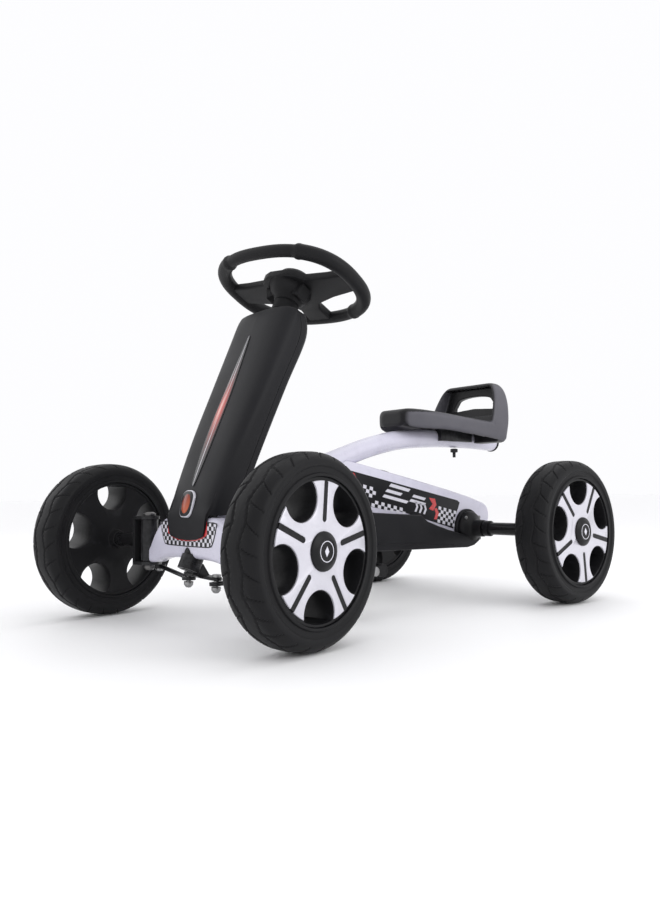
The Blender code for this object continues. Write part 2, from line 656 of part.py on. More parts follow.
def make_pitman(steering, finishes):
    """The arm at the column's foot, with a level plate that carries the two rod bolts."""
    level = about_x(COLUMN_TILT)
    foot = up_column(COLUMN_LOW_Z, WHEEL_CENTRE_Z)
    collar = sleeve("pitman_arm", 0.0165, COLUMN_RADIUS + GAP, 0.001,
                    up_column(COLUMN_LOW_Z, HEAD_TUBE_LOW_Z) - 0.0008, 24)
    arm = add("pitman_arm", collar, finishes["black_metal"], steering, move(0, 0, -foot))
    to_level = level @ move(0, -WHEEL_CENTRE_Y, -WHEEL_CENTRE_Z)
    low = INNER_EYE_Z + EYE_THICKNESS / 2 + 0.0027
    high = low + 0.0045
    plate = prism("pitman_plate", rounded_box(PITMAN_PIN_X + 0.0078, 0.0078, 0.0074, 4), low, high, flat)
    web = prism("pitman_web", ((-0.006, 0.0945), (-0.006, 0.0820), (0.014, low + 0.0005), (0.030, low + 0.0005),
                               (0.030, high), (0.0165, 0.0945)), -0.0080, 0.0080, across)
    bore = rod("pitman_bore", COLUMN_RADIUS + GAP, -0.03, 0.03)
    join(arm, helper("join_pitman_plate", plate, steering, to_level @ move(0, PITMAN_PIN_Y, 0)),
         helper("join_pitman_web", web, steering, to_level))
    cut(arm, helper("cut_pitman_bore", bore, steering, move(0, 0, -foot)))
    for side in (1, -1):
        name = "left" if side > 0 else "right"
        place = to_level @ move(side * PITMAN_PIN_X, PITMAN_PIN_Y, 0)
        hole = rod("pitman_hole", PIN_RADIUS + GAP, low - 0.01, high + 0.01, 16)
        cut(arm, helper("cut_pitman_hole", hole, steering, place))
        nut_low = INNER_EYE_Z - EYE_THICKNESS / 2 - 0.0023
        bolt = turned("pitman_bolt", ((0, nut_low - 0.0095), (0.0040, nut_low - 0.0085), (0.0068, nut_low - 0.0050),
                                      (0.0072, nut_low), (PIN_RADIUS, nut_low), (PIN_RADIUS, high + GAP),
                                      (0.0065, high + GAP), (0.0065, high + 0.004), (0, high + 0.0045)), 16)
        add("pitman_bolt_" + name, bolt, finishes["steel"], steering, place)


def rim_path(count=44):
    """Centre line of the steering wheel rim, a flattened super-ellipse."""
    path = []
    for i in range(count):
        angle = math.tau * i / count
        cosine, sine = math.cos(angle), math.sin(angle)
        a = math.copysign(abs(cosine) ** (2 / RIM_POWER), cosine) * RIM_HALF_X
        b = math.copysign(abs(sine) ** (2 / RIM_POWER), sine) * RIM_HALF_Y
        path.append(Vector((a, b, 0)))
    return path


def make_steering_wheel(steering, finishes):
    """A one-piece moulded wheel: rim with thicker grips, cross bar, lower spoke and hub socket."""
    path = rim_path()
    radii = [GRIP_TUBE_RADIUS if abs(p.x) > GRIP_START_X else RIM_TUBE_RADIUS for p in path]
    wheel = add("steering_wheel", sweep("steering_wheel", path, radii, 10, True, Vector((0, 0, 1))),
                finishes["black_plastic"], steering)
    bar = [(-0.122, -0.023), (-0.040, -0.022), (-0.020, -0.040), (0.020, -0.040), (0.040, -0.022),
           (0.122, -0.023), (0.122, 0.021), (0.020, 0.051), (-0.020, 0.051), (-0.122, 0.021)]
    spoke = [(-0.017, 0.030), (0.017, 0.030), (0.020, 0.094), (-0.020, 0.094)]
    socket = rod("wheel_socket", 0.0210, -0.0340, 0.0, 24, 0.002)
    join(wheel, helper("join_wheel_bar", prism("wheel_bar", bar, -0.0070, 0.0060, flat), steering),
         helper("join_wheel_spoke", prism("wheel_spoke", spoke, -0.0060, 0.0050, flat), steering),
         helper("join_wheel_socket", socket, steering))
    bore = rod("wheel_bore_column", COLUMN_RADIUS + GAP, -0.1, -0.0105)
    cut(wheel, helper("cut_wheel_column", bore, steering))
    pad = turned("horn_pad", ((0, 0.0063), (0.030, 0.0063), (0.0310, 0.0100), (0.0270, 0.0200),
                              (0.0180, 0.0260), (0, 0.0280)), 28)
    add("horn_pad", pad, finishes["black_plastic"], steering)


def make_knuckle(side, kingpin, finishes):
    name = "left" if side > 0 else "right"
    low = HOUSING_LOW - GAP - FORK_THICKNESS
    high = HOUSING_HIGH + GAP + FORK_THICKNESS
    plate_x = HOUSING_RADIUS + 0.0035
    plate = [(side * a, b) for a, b in ((plate_x, -FORK_RADIUS), (plate_x + 0.005, -FORK_RADIUS),
                                        (plate_x + 0.005, FORK_RADIUS), (plate_x, FORK_RADIUS))]
    body = prism("knuckle", plate, low, high, flat)
    knuckle = add("knuckle_" + name, body, finishes["black_metal"], kingpin)
    jaw = circle_points(FORK_RADIUS, 13, (0, 0), math.pi / 2, math.pi)
    jaw = [(side * a, b) for a, b in jaw + [(plate_x + 0.004, -FORK_RADIUS), (plate_x + 0.004, FORK_RADIUS)]]
    arm = [(side * -0.006, 0.004), (side * (ARM_OUT - 0.0095), ARM_BACK + 0.002)]
    tip = circle_points(0.0090, 7, (0, 0), math.pi * 0.9, -math.pi)
    arm += [(side * (ARM_OUT + a), ARM_BACK + b) for a, b in tip]
    arm += [(side * 0.0190, 0.004)]
    stub = rod("stub_axle", STUB_RADIUS, plate_x + 0.002, FRONT_TRACK / 2 - KINGPIN_X + 0.0230, 20, 0.0008)
    hub = FRONT_TRACK / 2 - KINGPIN_X
    nut = rod("stub_nut", 0.0105, hub + 0.0178, hub + 0.0250, 12)
    collar = rod("stub_collar", 0.0110, plate_x + 0.002,
                 FRONT_TRACK / 2 - KINGPIN_X - RIM_HALF_WIDTH - HUB_BOSS_LENGTH - 0.0010, 20)
    outwards = move(0, 0, AXLE_HEIGHT) @ (ALONG_X if side > 0 else about_z(math.pi) @ ALONG_X)
    join(knuckle, helper("join_jaw_low", prism("jaw", jaw, low, low + FORK_THICKNESS, flat), kingpin),
         helper("join_jaw_high", prism("jaw", jaw, high - FORK_THICKNESS, high, flat), kingpin),
         helper("join_arm", prism("arm", arm, low, low + FORK_THICKNESS, flat), kingpin),
         helper("join_stub", stub, kingpin, outwards),
         helper("join_nut", nut, kingpin, outwards),
         helper("join_collar", collar, kingpin, outwards))
    cut(knuckle, helper("cut_kingpin", rod("kingpin_hole", KINGPIN_RADIUS + GAP, 0.0, 0.3), kingpin),
        helper("cut_rod_hole", rod("rod_hole", PIN_RADIUS + GAP, low - 0.01, low + 0.01, 16), kingpin,
               move(side * ARM_OUT, ARM_BACK, 0)))
    head = high + GAP
    foot = low - GAP
    pin = turned("kingpin", ((0, foot - 0.0090), (0.0065, foot - 0.0080), (0.0085, foot - 0.0050), (0.0085, foot),
                             (KINGPIN_RADIUS, foot), (KINGPIN_RADIUS, head), (0.0095, head),
                             (0.0095, head + 0.0040), (0.0060, head + 0.0060), (0, head + 0.0060)), 18)
    add("kingpin_bolt_" + name, pin, finishes["steel"], kingpin)
    nut_low = OUTER_EYE_Z - EYE_THICKNESS / 2 - 0.0013
    top = low + FORK_THICKNESS + GAP
    bolt = turned("rod_bolt", ((0, nut_low - 0.0050), (0.0050, nut_low - 0.0045), (0.0062, nut_low - 0.0030),
                               (0.0062, nut_low), (PIN_RADIUS, nut_low), (PIN_RADIUS, top),
                               (0.0062, top), (0.0062, top + 0.0035), (0, top + 0.0035)), 16)
    add("tie_rod_bolt_" + name, bolt, finishes["steel"], kingpin, move(side * ARM_OUT, ARM_BACK, 0))


def make_tie_rod(side, kingpin, chassis, finishes):
    """The rod from the knuckle arm to the pitman bolt, built as it lies at rest."""
    name = "left" if side > 0 else "right"
    outer = Vector((side * (KINGPIN_X + ARM_OUT), ARM_BACK, OUTER_EYE_Z))
    inner = Vector((side * PITMAN_PIN_X, PITMAN_PIN_Y, INNER_EYE_Z))
    pivot = empty("tie_rod_pivot_" + name, kingpin, (side * ARM_OUT, ARM_BACK, OUTER_EYE_Z))
    axis = Vector((side * ROD_AXIS_OUT, ROD_AXIS_BACK, 1.0)).normalized()
    turn = Matrix.Rotation(-ROD_RATIO * STEERING_REST, 4, axis)
    reach = inner - outer
    eye = sleeve("rod_eye", EYE_RADIUS, OUTER_EYE_BORE, -EYE_THICKNESS / 2, EYE_THICKNESS / 2, 20)
    rod_part = add("tie_rod_" + name, eye, finishes["black_metal"], pivot, turn)
    far_eye = sleeve("rod_far_eye", EYE_RADIUS, INNER_EYE_BORE, -EYE_THICKNESS / 2, EYE_THICKNESS / 2, 20)
    direction = reach.normalized()
    lay = Vector((0, 0, 1)).rotation_difference(direction).to_matrix().to_4x4()
    bar = rod("rod_bar", ROD_RADIUS, 0.0078, reach.length - 0.0085, 12)
    join(rod_part, helper("join_far_eye", far_eye, pivot, turn @ Matrix.Translation(reach)),
         helper("join_rod_bar", bar, pivot, turn @ lay))


# Drive

def sprocket_radius(teeth):
    return CHAIN_PITCH / (2 * math.sin(math.pi / teeth))


def make_sprocket(name, teeth, bore, parent, finishes):
    """A toothed disc that stays just inside the chain band."""
    tip = sprocket_radius(teeth) - CHAIN_HALF_HEIGHT - GAP
    outline = []
    for i in range(teeth):
        for share, radius in ((0.0, tip - 0.0025), (0.30, tip - 0.0025), (0.50, tip), (0.70, tip)):
            angle = math.tau * (i + share) / teeth
            outline.append((radius * math.cos(angle), radius * math.sin(angle)))
    half = SPROCKET_THICKNESS / 2
    disc = add(name, prism(name, outline, CHAIN_X - half, CHAIN_X + half, flat),
               finishes["steel"], parent, ALONG_X)
    cut(disc, helper("cut_" + name, rod("sprocket_bore", bore, -0.05, 0.05), parent, ALONG_X))


def chain_loop(offset):
    """Outline of the chain in (back, up), offset outwards from its pitch line."""
    front = Vector((CRANK_Y, CRANK_Z))
    rear = Vector((WHEELBASE, AXLE_HEIGHT))
    big = sprocket_radius(CHAIN_RING_TEETH)
    small = sprocket_radius(REAR_SPROCKET_TEETH)
    line = rear - front
    lean = math.atan2(line.y, line.x)
    wrap = math.acos((big - small) / line.length)
    loop = circle_points(big + offset, 15, tuple(front), lean + wrap, math.tau - 2 * wrap)
    loop += circle_points(small + offset, 13, tuple(rear), lean - wrap, 2 * wrap)
    return loop


def make_drive(chassis, crank, axle, finishes):
    inside = chain_loop(-CHAIN_HALF_HEIGHT)
    outside = chain_loop(CHAIN_HALF_HEIGHT)
    low = CHAIN_X - CHAIN_WIDTH / 2
    high = CHAIN_X + CHAIN_WIDTH / 2
    rings = [[(level, a, b) for level, (a, b) in ((low, o), (high, o), (high, i), (low, i))]
             for o, i in zip(outside, inside)]
    add("drive_chain", loft("drive_chain", rings, closed=True), finishes["steel"], chassis)
    make_sprocket("chain_ring", CHAIN_RING_TEETH, CRANK_AXLE_RADIUS + GAP, crank, finishes)
    make_sprocket("rear_sprocket", REAR_SPROCKET_TEETH, AXLE_RADIUS + GAP, axle, finishes)


def cover_outline():
    """Side outline of the chain cover, counter-clockwise in (back, up)."""
    rear = circle_points(COVER_BOSS_RADIUS, 15, (WHEELBASE, AXLE_HEIGHT), -math.pi / 2 - 0.10, math.pi + 1.05)
    front = circle_points(COVER_FRONT_RADIUS, 11, (CRANK_Y, CRANK_Z), math.pi * 0.44, math.pi * 1.02)
    return rear + list(COVER_TOP) + front


def make_cover(chassis, finishes):
    outline = cover_outline()
    cover = add("chain_cover", prism("chain_cover", outline, COVER_RIGHT_X, COVER_LEFT_X, across),
                finishes["black_plastic"], chassis)
    room = prism("cover_room", inset(outline, COVER_WALL),
                 COVER_RIGHT_X + COVER_WALL, COVER_LEFT_X - COVER_WALL,
                 across)
    mouth = ((0.10, 0.139), (0.40, 0.139), (0.60, 0.110), (0.76, 0.110), (0.76, 0.30), (0.10, 0.30))
    slot = prism("cover_mouth", mouth, -BEAM_HALF_WIDTH - GAP, BEAM_HALF_WIDTH + GAP, across)
    beam_space = prism("cover_beam_space", [(b, u) for b, u in inset(list(BEAM_OUTLINE)[::-1], -GAP)],
                       -BEAM_HALF_WIDTH - GAP, BEAM_HALF_WIDTH + GAP, across)
    crank = rod("cover_crank_space", 0.0150, -0.1, 0.1)
    axle = rod("cover_axle_space", 0.0170, -0.1, 0.1)
    cut(cover, helper("cut_cover_room", room, chassis), helper("cut_cover_mouth", slot, chassis),
        helper("cut_cover_beam", beam_space, chassis),
        helper("cut_cover_crank", crank, chassis, move(0, CRANK_Y, CRANK_Z) @ ALONG_X),
        helper("cut_cover_axle", axle, chassis, move(0, WHEELBASE, AXLE_HEIGHT) @ ALONG_X))


def make_bearings(chassis, finishes):
    """Flanged cups outside the rear of the cover, and plain bushes for the crank."""
    axle_bore = AXLE_RADIUS + GAP
    crank_bore = CRANK_AXLE_RADIUS + GAP
    for side, wall in ((1, COVER_LEFT_X), (-1, -COVER_RIGHT_X)):
        name = "left" if side > 0 else "right"
        turn = ALONG_X if side > 0 else about_z(math.pi) @ ALONG_X
        inner = BEAM_HALF_WIDTH - BEAM_WALL
        cup = turned("rear_bearing", ((axle_bore, inner), (0.0162, inner), (0.0162, wall + GAP),
                                      (BEARING_RADIUS, wall + GAP), (BEARING_RADIUS, wall + 0.0060),
                                      (BEARING_RADIUS - 0.0040, wall + 0.0110), (0.0200, wall + 0.0160),
                                      (0.0150, wall + 0.0240), (axle_bore, wall + 0.0250)), 28, ring=True)
        add("rear_bearing_" + name, cup, finishes["black_plastic"], chassis,
            move(0, WHEELBASE, AXLE_HEIGHT) @ turn)
        bush = turned("crank_bush", ((crank_bore, inner), (0.0122, inner), (0.0122, BEAM_HALF_WIDTH + GAP),
                                     (0.0145, BEAM_HALF_WIDTH + GAP), (0.0145, wall + 0.0010),
                                     (crank_bore, wall + 0.0010)), 22, ring=True)
        add("crank_bush_" + name, bush, finishes["nylon"], chassis, move(0, CRANK_Y, CRANK_Z) @ turn)


def make_rear_axle(axle, finishes):
    shoulder = REAR_TRACK / 2 - RIM_HALF_WIDTH - HUB_BOSS_LENGTH - 0.0006
    nut = REAR_TRACK / 2 + RIM_HALF_WIDTH - HUB_POCKET_DEPTH + 0.0006
    half = ((AXLE_RADIUS, shoulder), (AXLE_HUB_RADIUS, shoulder), (AXLE_HUB_RADIUS, nut), (0.0105, nut),
            (0.0105, nut + 0.0070), (AXLE_HUB_RADIUS, nut + 0.0070), (0.0055, nut + 0.0085), (0, nut + 0.0085))
    profile = [(radius, -along) for radius, along in reversed(half)] + list(half)
    add("rear_axle", turned("rear_axle", profile, 24), finishes["black_metal"], axle, ALONG_X)


def make_crank(crank, finishes):
    """A one-piece crank: axle, two opposed arms and the pedal spindles."""
    shaft = add("crankshaft", rod("crankshaft", CRANK_AXLE_RADIUS, -CRANK_ARM_X, CRANK_ARM_X, 20),
                finishes["steel"], crank, ALONG_X)
    pedals = {}
    for side in (1, -1):
        name = "left" if side > 0 else "right"
        turn = about_x(0 if side > 0 else math.pi)
        bar = rounded_box(0.0110, CRANK_LENGTH / 2 + 0.0110, 0.0105, 3)
        low = side * CRANK_ARM_X - CRANK_ARM_THICKNESS / 2
        arm = prism("crank_arm", bar, low, low + CRANK_ARM_THICKNESS, across)
        start = CRANK_ARM_X - 0.002
        stop = CRANK_ARM_X + CRANK_ARM_THICKNESS / 2 + PEDAL_GAP + PEDAL_WIDTH + 0.0015
        profile = ((0, start), (SPINDLE_RADIUS, start), (SPINDLE_RADIUS, stop), (0.0075, stop),
                   (0.0075, stop + 0.0030), (0, stop + 0.0030))
        spindle = turned("spindle", profile, 16)
        outwards = ALONG_X if side > 0 else about_z(math.pi) @ ALONG_X
        end = turn @ move(0, 0, CRANK_LENGTH)
        join(shaft, helper("join_arm_" + name, arm, crank, turn @ move(0, 0, CRANK_LENGTH / 2)),
             helper("join_spindle_" + name, spindle, crank, Matrix.Translation(end.translation) @ outwards))
        level = move(*end.translation) @ about_x(-CRANK_REST)
        pedals[side] = empty("pedal_axis_" + name, crank, matrix=level)
    return pedals


def make_pedal(side, pivot, finishes):
    """A platform pedal with raised treads, free on its spindle."""
    name = "left" if side > 0 else "right"
    near = CRANK_ARM_X + CRANK_ARM_THICKNESS / 2 + PEDAL_GAP
    levels = sorted((side * near, side * (near + PEDAL_WIDTH)))
    half_height = PEDAL_HEIGHT / 2
    outline = [(-0.5, -0.55), (0.5, -0.55), (0.62, -0.8), (0.85, -0.8), (1, -0.35), (1, 0.35), (0.85, 0.8),
               (0.62, 0.8), (0.5, 0.55), (-0.5, 0.55), (-0.62, 0.8), (-0.85, 0.8), (-1, 0.35), (-1, -0.35),
               (-0.85, -0.8), (-0.62, -0.8)]
    points = [(a * PEDAL_LENGTH / 2, b * half_height * 1.25) for a, b in outline]
    pedal = add("pedal_" + name, prism("pedal", points, levels[0], levels[1], across),
                finishes["black_plastic"], pivot)
    for shift in (-0.55, 0.55):
        window = rounded_box(PEDAL_LENGTH * 0.11, PEDAL_WIDTH * 0.36, 0.003, 2)
        middle = (levels[0] + levels[1]) / 2
        cutter = prism("pedal_window", [(b, a) for a, b in window][::-1], -0.02, 0.02, flat)
        cut(pedal, helper("cut_pedal_window", cutter, pivot, move(middle, shift * PEDAL_LENGTH / 2, 0)))
    bore = rod("pedal_bore", SPINDLE_RADIUS + GAP, -0.15, 0.15)
    cut(pedal, helper("cut_pedal_bore", bore, pivot, ALONG_X))


# Seat

def seat_ring(section, shrink=0.0):
    back, low, high, half = section
    half -= shrink
    high -= shrink
    outline = rounded_box(half, (high - low) / 2, min(0.010, half / 3), 2)
    return [(a, back, (low + high) / 2 + b) for a, b in outline]


def backrest_ring(section):
    height, front, rear, half = section
    outline = rounded_box(half, (rear - front) / 2, (rear - front) * 0.42, 2)
    return [(a, (front + rear) / 2 + b, height) for a, b in outline]


def make_seat(seat, finishes):
    shell = add("seat_shell", loft("seat_shell", [seat_ring(section) for section in SEAT_SECTIONS]),
                finishes["black_plastic"], seat)
    rest = loft("backrest", [backrest_ring(section) for section in BACKREST_SECTIONS])
    hollow = []
    for back, low, high, half in SEAT_SECTIONS[1:-1]:
        hollow.append(seat_ring((back, low - 0.03, high - SEAT_SKIN - 0.0025, half - SEAT_SKIN)))
    slot = [(a, b) for a, b in rounded_box(HANDLE_HALF_WIDTH, (HANDLE_HIGH_Z - HANDLE_LOW_Z) / 2, 0.009, 3)]
    handle = prism("handle_slot", slot, 0.60, 0.76, lambda a, b, level: (a, level, b))
    spine = sweep("seat_spine_space", spine_path(), SPINE_RADIUS + 0.0012, 16)
    join(shell, helper("join_backrest", rest, seat))
    cut(shell, helper("cut_seat_room", loft("seat_room", hollow), seat),
        helper("cut_handle", handle, seat, move(0, 0, (HANDLE_LOW_Z + HANDLE_HIGH_Z) / 2)),
        helper("cut_seat_spine", spine, seat))
    make_saddle(seat, finishes)


def make_saddle(seat, finishes):
    """The clamp under the pan that straddles the tube, and its bolt."""
    under = 0.3335
    block = prism("seat_saddle", ((-0.027, 0.545), (0.027, 0.545), (0.027, 0.640), (-0.027, 0.640)), 0.2960,
                  under - 0.003, flat)
    saddle = add("seat_saddle", block, finishes["black_metal"], seat)
    spine = sweep("saddle_spine_space", spine_path(), SPINE_RADIUS + 0.0006, 16)
    cut(saddle, helper("cut_saddle_spine", spine, seat))
    bolt = turned("seat_bolt", ((0, 0.2660), (0.0030, 0.2660), (0.0032, 0.2755), (0.0075, 0.2765),
                                (0.0075, 0.2825), (0.0050, 0.2836), (0, 0.2836)), 14)
    add("seat_clamp_bolt", bolt, finishes["steel"], seat, move(0, SEAT_BOLT_Y, 0))


def make_finishes():
    return {"white_paint": material("white_paint", (0.80, 0.79, 0.86), 0.30),
            "black_plastic": material("black_plastic", (0.022, 0.022, 0.025), 0.45),
            "black_metal": material("black_metal", (0.020, 0.020, 0.022), 0.35, 0.2),
            "tyre": material("tyre", (0.016, 0.016, 0.018), 0.65),
            "silver": material("silver", (0.72, 0.72, 0.75), 0.35, 0.3),
            "steel": material("steel", (0.45, 0.45, 0.47), 0.30, 1.0),
            "nylon": material("nylon", (0.60, 0.60, 0.58), 0.5)}


def main():
    clear_scene()
    finishes = make_finishes()
    chassis = empty("chassis", None, (0, -FRONT_AXLE_TO_CENTRE, 0))

    make_spine(chassis, finishes)
    make_beam(chassis, finishes)
    make_crossbeam(chassis, finishes)
    make_head_tube(chassis, finishes)
    make_fairing(chassis, finishes)
    make_cover(chassis, finishes)
    make_bearings(chassis, finishes)

    steering = empty("steering_axis", chassis, matrix=column_frame(WHEEL_CENTRE_Z) @ about_z(STEERING_REST))
    make_column(steering, finishes)
    make_pitman(steering, finishes)
    make_steering_wheel(steering, finishes)

    hubs = {}
    for side, name, half_steps in ((1, "front_left", 1), (-1, "front_right", 31)):
        kingpin = empty("kingpin_axis_" + name, chassis,
                        matrix=move(side * KINGPIN_X, 0, 0) @ about_z(KNUCKLE_RATIO * STEERING_REST))
        make_knuckle(side, kingpin, finishes)
        make_tie_rod(side, kingpin, chassis, finishes)
        place = move(side * (FRONT_TRACK / 2 - KINGPIN_X), 0, AXLE_HEIGHT) @ wheel_frame(side, half_steps)
        hubs[name] = empty("hub_" + name, kingpin, matrix=place)

    axle = empty("rear_axle_axis", chassis, (0, WHEELBASE, AXLE_HEIGHT))
    make_rear_axle(axle, finishes)
    for side, name, half_steps in ((1, "rear_left", 31), (-1, "rear_right", 3)):
        place = move(side * REAR_TRACK / 2, 0, 0) @ wheel_frame(side, half_steps)
        hubs[name] = empty("hub_" + name, axle, matrix=place)
    make_wheels(hubs, finishes)

    crank = empty("crank_axis", chassis, matrix=move(0, CRANK_Y, CRANK_Z) @ about_x(CRANK_REST))
    make_drive(chassis, crank, axle, finishes)
    for side, pivot in make_crank(crank, finishes).items():
        make_pedal(side, pivot, finishes)

    seat = empty("seat_slide", chassis)
    make_seat(seat, finishes)


main()
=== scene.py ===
"""Looks for the pedal go kart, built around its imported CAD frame.

Shapes are placed in the chassis frame, whose origin is on the ground under the front axle line.
The kart faces -Y and its left side is +X.
"""

import json
import math

import bmesh
import bpy
import numpy as np
from mathutils import Matrix, Vector

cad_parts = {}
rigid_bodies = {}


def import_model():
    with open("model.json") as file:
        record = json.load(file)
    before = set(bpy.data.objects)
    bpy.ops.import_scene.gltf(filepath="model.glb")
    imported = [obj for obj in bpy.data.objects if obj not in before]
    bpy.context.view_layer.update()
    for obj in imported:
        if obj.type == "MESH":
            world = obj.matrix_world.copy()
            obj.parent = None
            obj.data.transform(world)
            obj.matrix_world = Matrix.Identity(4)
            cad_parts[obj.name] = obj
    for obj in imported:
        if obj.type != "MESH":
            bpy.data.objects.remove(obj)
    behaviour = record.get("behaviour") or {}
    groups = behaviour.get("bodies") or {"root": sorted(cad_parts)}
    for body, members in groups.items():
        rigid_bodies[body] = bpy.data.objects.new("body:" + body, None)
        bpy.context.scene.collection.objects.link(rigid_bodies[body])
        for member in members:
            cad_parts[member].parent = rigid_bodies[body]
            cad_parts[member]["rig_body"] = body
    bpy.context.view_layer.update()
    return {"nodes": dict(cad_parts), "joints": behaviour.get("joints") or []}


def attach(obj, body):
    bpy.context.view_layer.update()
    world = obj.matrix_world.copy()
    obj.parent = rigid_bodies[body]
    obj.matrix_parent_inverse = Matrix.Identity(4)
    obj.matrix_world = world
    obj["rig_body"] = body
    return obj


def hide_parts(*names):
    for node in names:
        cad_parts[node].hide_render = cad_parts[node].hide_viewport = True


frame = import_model()
JOINTS = {joint["name"]: joint for joint in frame["joints"]}
TO_ROW = Matrix.Translation((0, JOINTS["knuckle_left_turn"]["pos_m"][1], 0))
SIDES = (("left", 1), ("right", -1))

def mm(table):
    """A nested table of millimetres, in metres."""
    if isinstance(table, tuple):
        return tuple(mm(row) for row in table)
    return table / 1000


WHEELBASE = 0.6236
REAR_TRACK = 0.4854
WHEEL_RADIUS = 0.125
SPINE_RADIUS = 0.0185
BEAM_HALF_WIDTH = 0.02
CRANK_Y, CRANK_Z = 0.215, 0.145
COLUMN_TILT = math.radians(24.0)
STEERING_REST = math.radians(10.8)
HUB_BACK, HUB_HEIGHT = 0.197, 0.542
HEAD_TUBE_FOOT, HEAD_TUBE_TOP = 0.106, 0.3
COLUMN_BORE = 0.0146
WALL = 0.0025
COVER_LEFT_X, COVER_RIGHT_X = 0.04, -0.024

# ---------------------------------------------------------------- materials


def mixed(tree, factor, first, second, blend="MIX"):
    """A blend of two colours. Each of the three inputs is a number, a colour or a socket."""
    mix = tree.nodes.new("ShaderNodeMix")
    mix.data_type = "RGBA"
    mix.blend_type = blend
    for value, key in ((factor, "Factor"), (first, "A"), (second, "B")):
        socket = mix.inputs[key]
        if isinstance(value, tuple):
            socket.default_value = (*value, 1.0)
        elif isinstance(value, float):
            socket.default_value = value
        else:
            tree.links.new(value, socket)
    return mix.outputs["Result"]


def noise(tree, scale, detail=4.0, roughness=0.55, stretch=None):
    texture = tree.nodes.new("ShaderNodeTexNoise")
    texture.inputs["Scale"].default_value = scale
    texture.inputs["Detail"].default_value = detail
    texture.inputs["Roughness"].default_value = roughness
    coordinates = tree.nodes.new("ShaderNodeTexCoord")
    mapping = tree.nodes.new("ShaderNodeMapping")
    if stretch:
        mapping.inputs["Scale"].default_value = stretch
    tree.links.new(coordinates.outputs["Object"], mapping.inputs["Vector"])
    tree.links.new(mapping.outputs["Vector"], texture.inputs["Vector"])
    return texture.outputs["Fac"]


def cells(tree, scale):
    texture = tree.nodes.new("ShaderNodeTexVoronoi")
    texture.inputs["Scale"].default_value = scale
    coordinates = tree.nodes.new("ShaderNodeTexCoord")
    tree.links.new(coordinates.outputs["Object"], texture.inputs["Vector"])
    return texture.outputs["Distance"]


def ranged(tree, value, low, high, from_low=0.3, from_high=0.7):
    """The value remapped from its middle range."""
    remap = tree.nodes.new("ShaderNodeMapRange")
    remap.inputs["From Min"].default_value = from_low
    remap.inputs["From Max"].default_value = from_high
    remap.inputs["To Min"].default_value = low
    remap.inputs["To Max"].default_value = high
    tree.links.new(value, remap.inputs["Value"])
    return remap.outputs["Result"]


def summed(tree, first, second, weight):
    add = tree.nodes.new("ShaderNodeMath")
    add.operation = "MULTIPLY_ADD"
    tree.links.new(second, add.inputs[0])
    add.inputs[1].default_value = weight
    tree.links.new(first, add.inputs[2])
    return add.outputs["Value"]


def surface(name, colour, second, roughness, grain, depth, patch=14.0, metallic=0.0, coat=0.0,
            coat_roughness=0.1, specular=0.5, stretch=None, pebbled=False, wear=None, painted=False):
    """A moulded, painted or metal surface.

    colour and second vary over patches. roughness is a (low, high) pair over the same patches.
    grain is the scale of the fine relief and depth its height in metres. wear is the colour that
    shows along sharp edges. painted multiplies the colour by the piece's colour attribute, which
    holds print colours and painted highlights and reflections.
    """
    made = bpy.data.materials.new(name)
    made.use_nodes = True
    tree = made.node_tree
    shader = tree.nodes["Principled BSDF"]
    patches = noise(tree, patch, 5.0)
    base = mixed(tree, ranged(tree, patches, 0, 1), colour, second)
    if painted:
        attribute = tree.nodes.new("ShaderNodeAttribute")
        attribute.attribute_name = "paint"
        base = mixed(tree, 1.0, attribute.outputs["Color"], base, "MULTIPLY")
    if wear:
        pointed = tree.nodes.new("ShaderNodeNewGeometry").outputs["Pointiness"]
        worn = tree.nodes.new("ShaderNodeMath")
        worn.operation = "MULTIPLY"
        tree.links.new(ranged(tree, pointed, 0.0, 0.55, 0.515, 0.58), worn.inputs[0])
        tree.links.new(ranged(tree, noise(tree, 160.0), 0, 1, 0.42, 0.6), worn.inputs[1])
        base = mixed(tree, worn.outputs["Value"], base, wear)
    tree.links.new(base, shader.inputs["Base Color"])
    fine = noise(tree, grain, 3.0, stretch=stretch)
    if pebbled:
        fine = summed(tree, ranged(tree, cells(tree, grain * 0.55), 0, 1, 0.0, 0.8), fine, 0.35)
    rough = summed(tree, ranged(tree, patches, *roughness), ranged(tree, fine, -1, 1), 0.03)
    tree.links.new(rough, shader.inputs["Roughness"])
    bump = tree.nodes.new("ShaderNodeBump")
    bump.inputs["Distance"].default_value = depth
    bump.inputs["Strength"].default_value = 1.0
    tree.links.new(fine, bump.inputs["Height"])
    tree.links.new(bump.outputs["Normal"], shader.inputs["Normal"])
    for key, value in (("Metallic", metallic), ("Coat Weight", coat), ("Coat Roughness", coat_roughness),
                       ("Specular IOR Level", specular)):
        shader.inputs[key].default_value = value
    return made


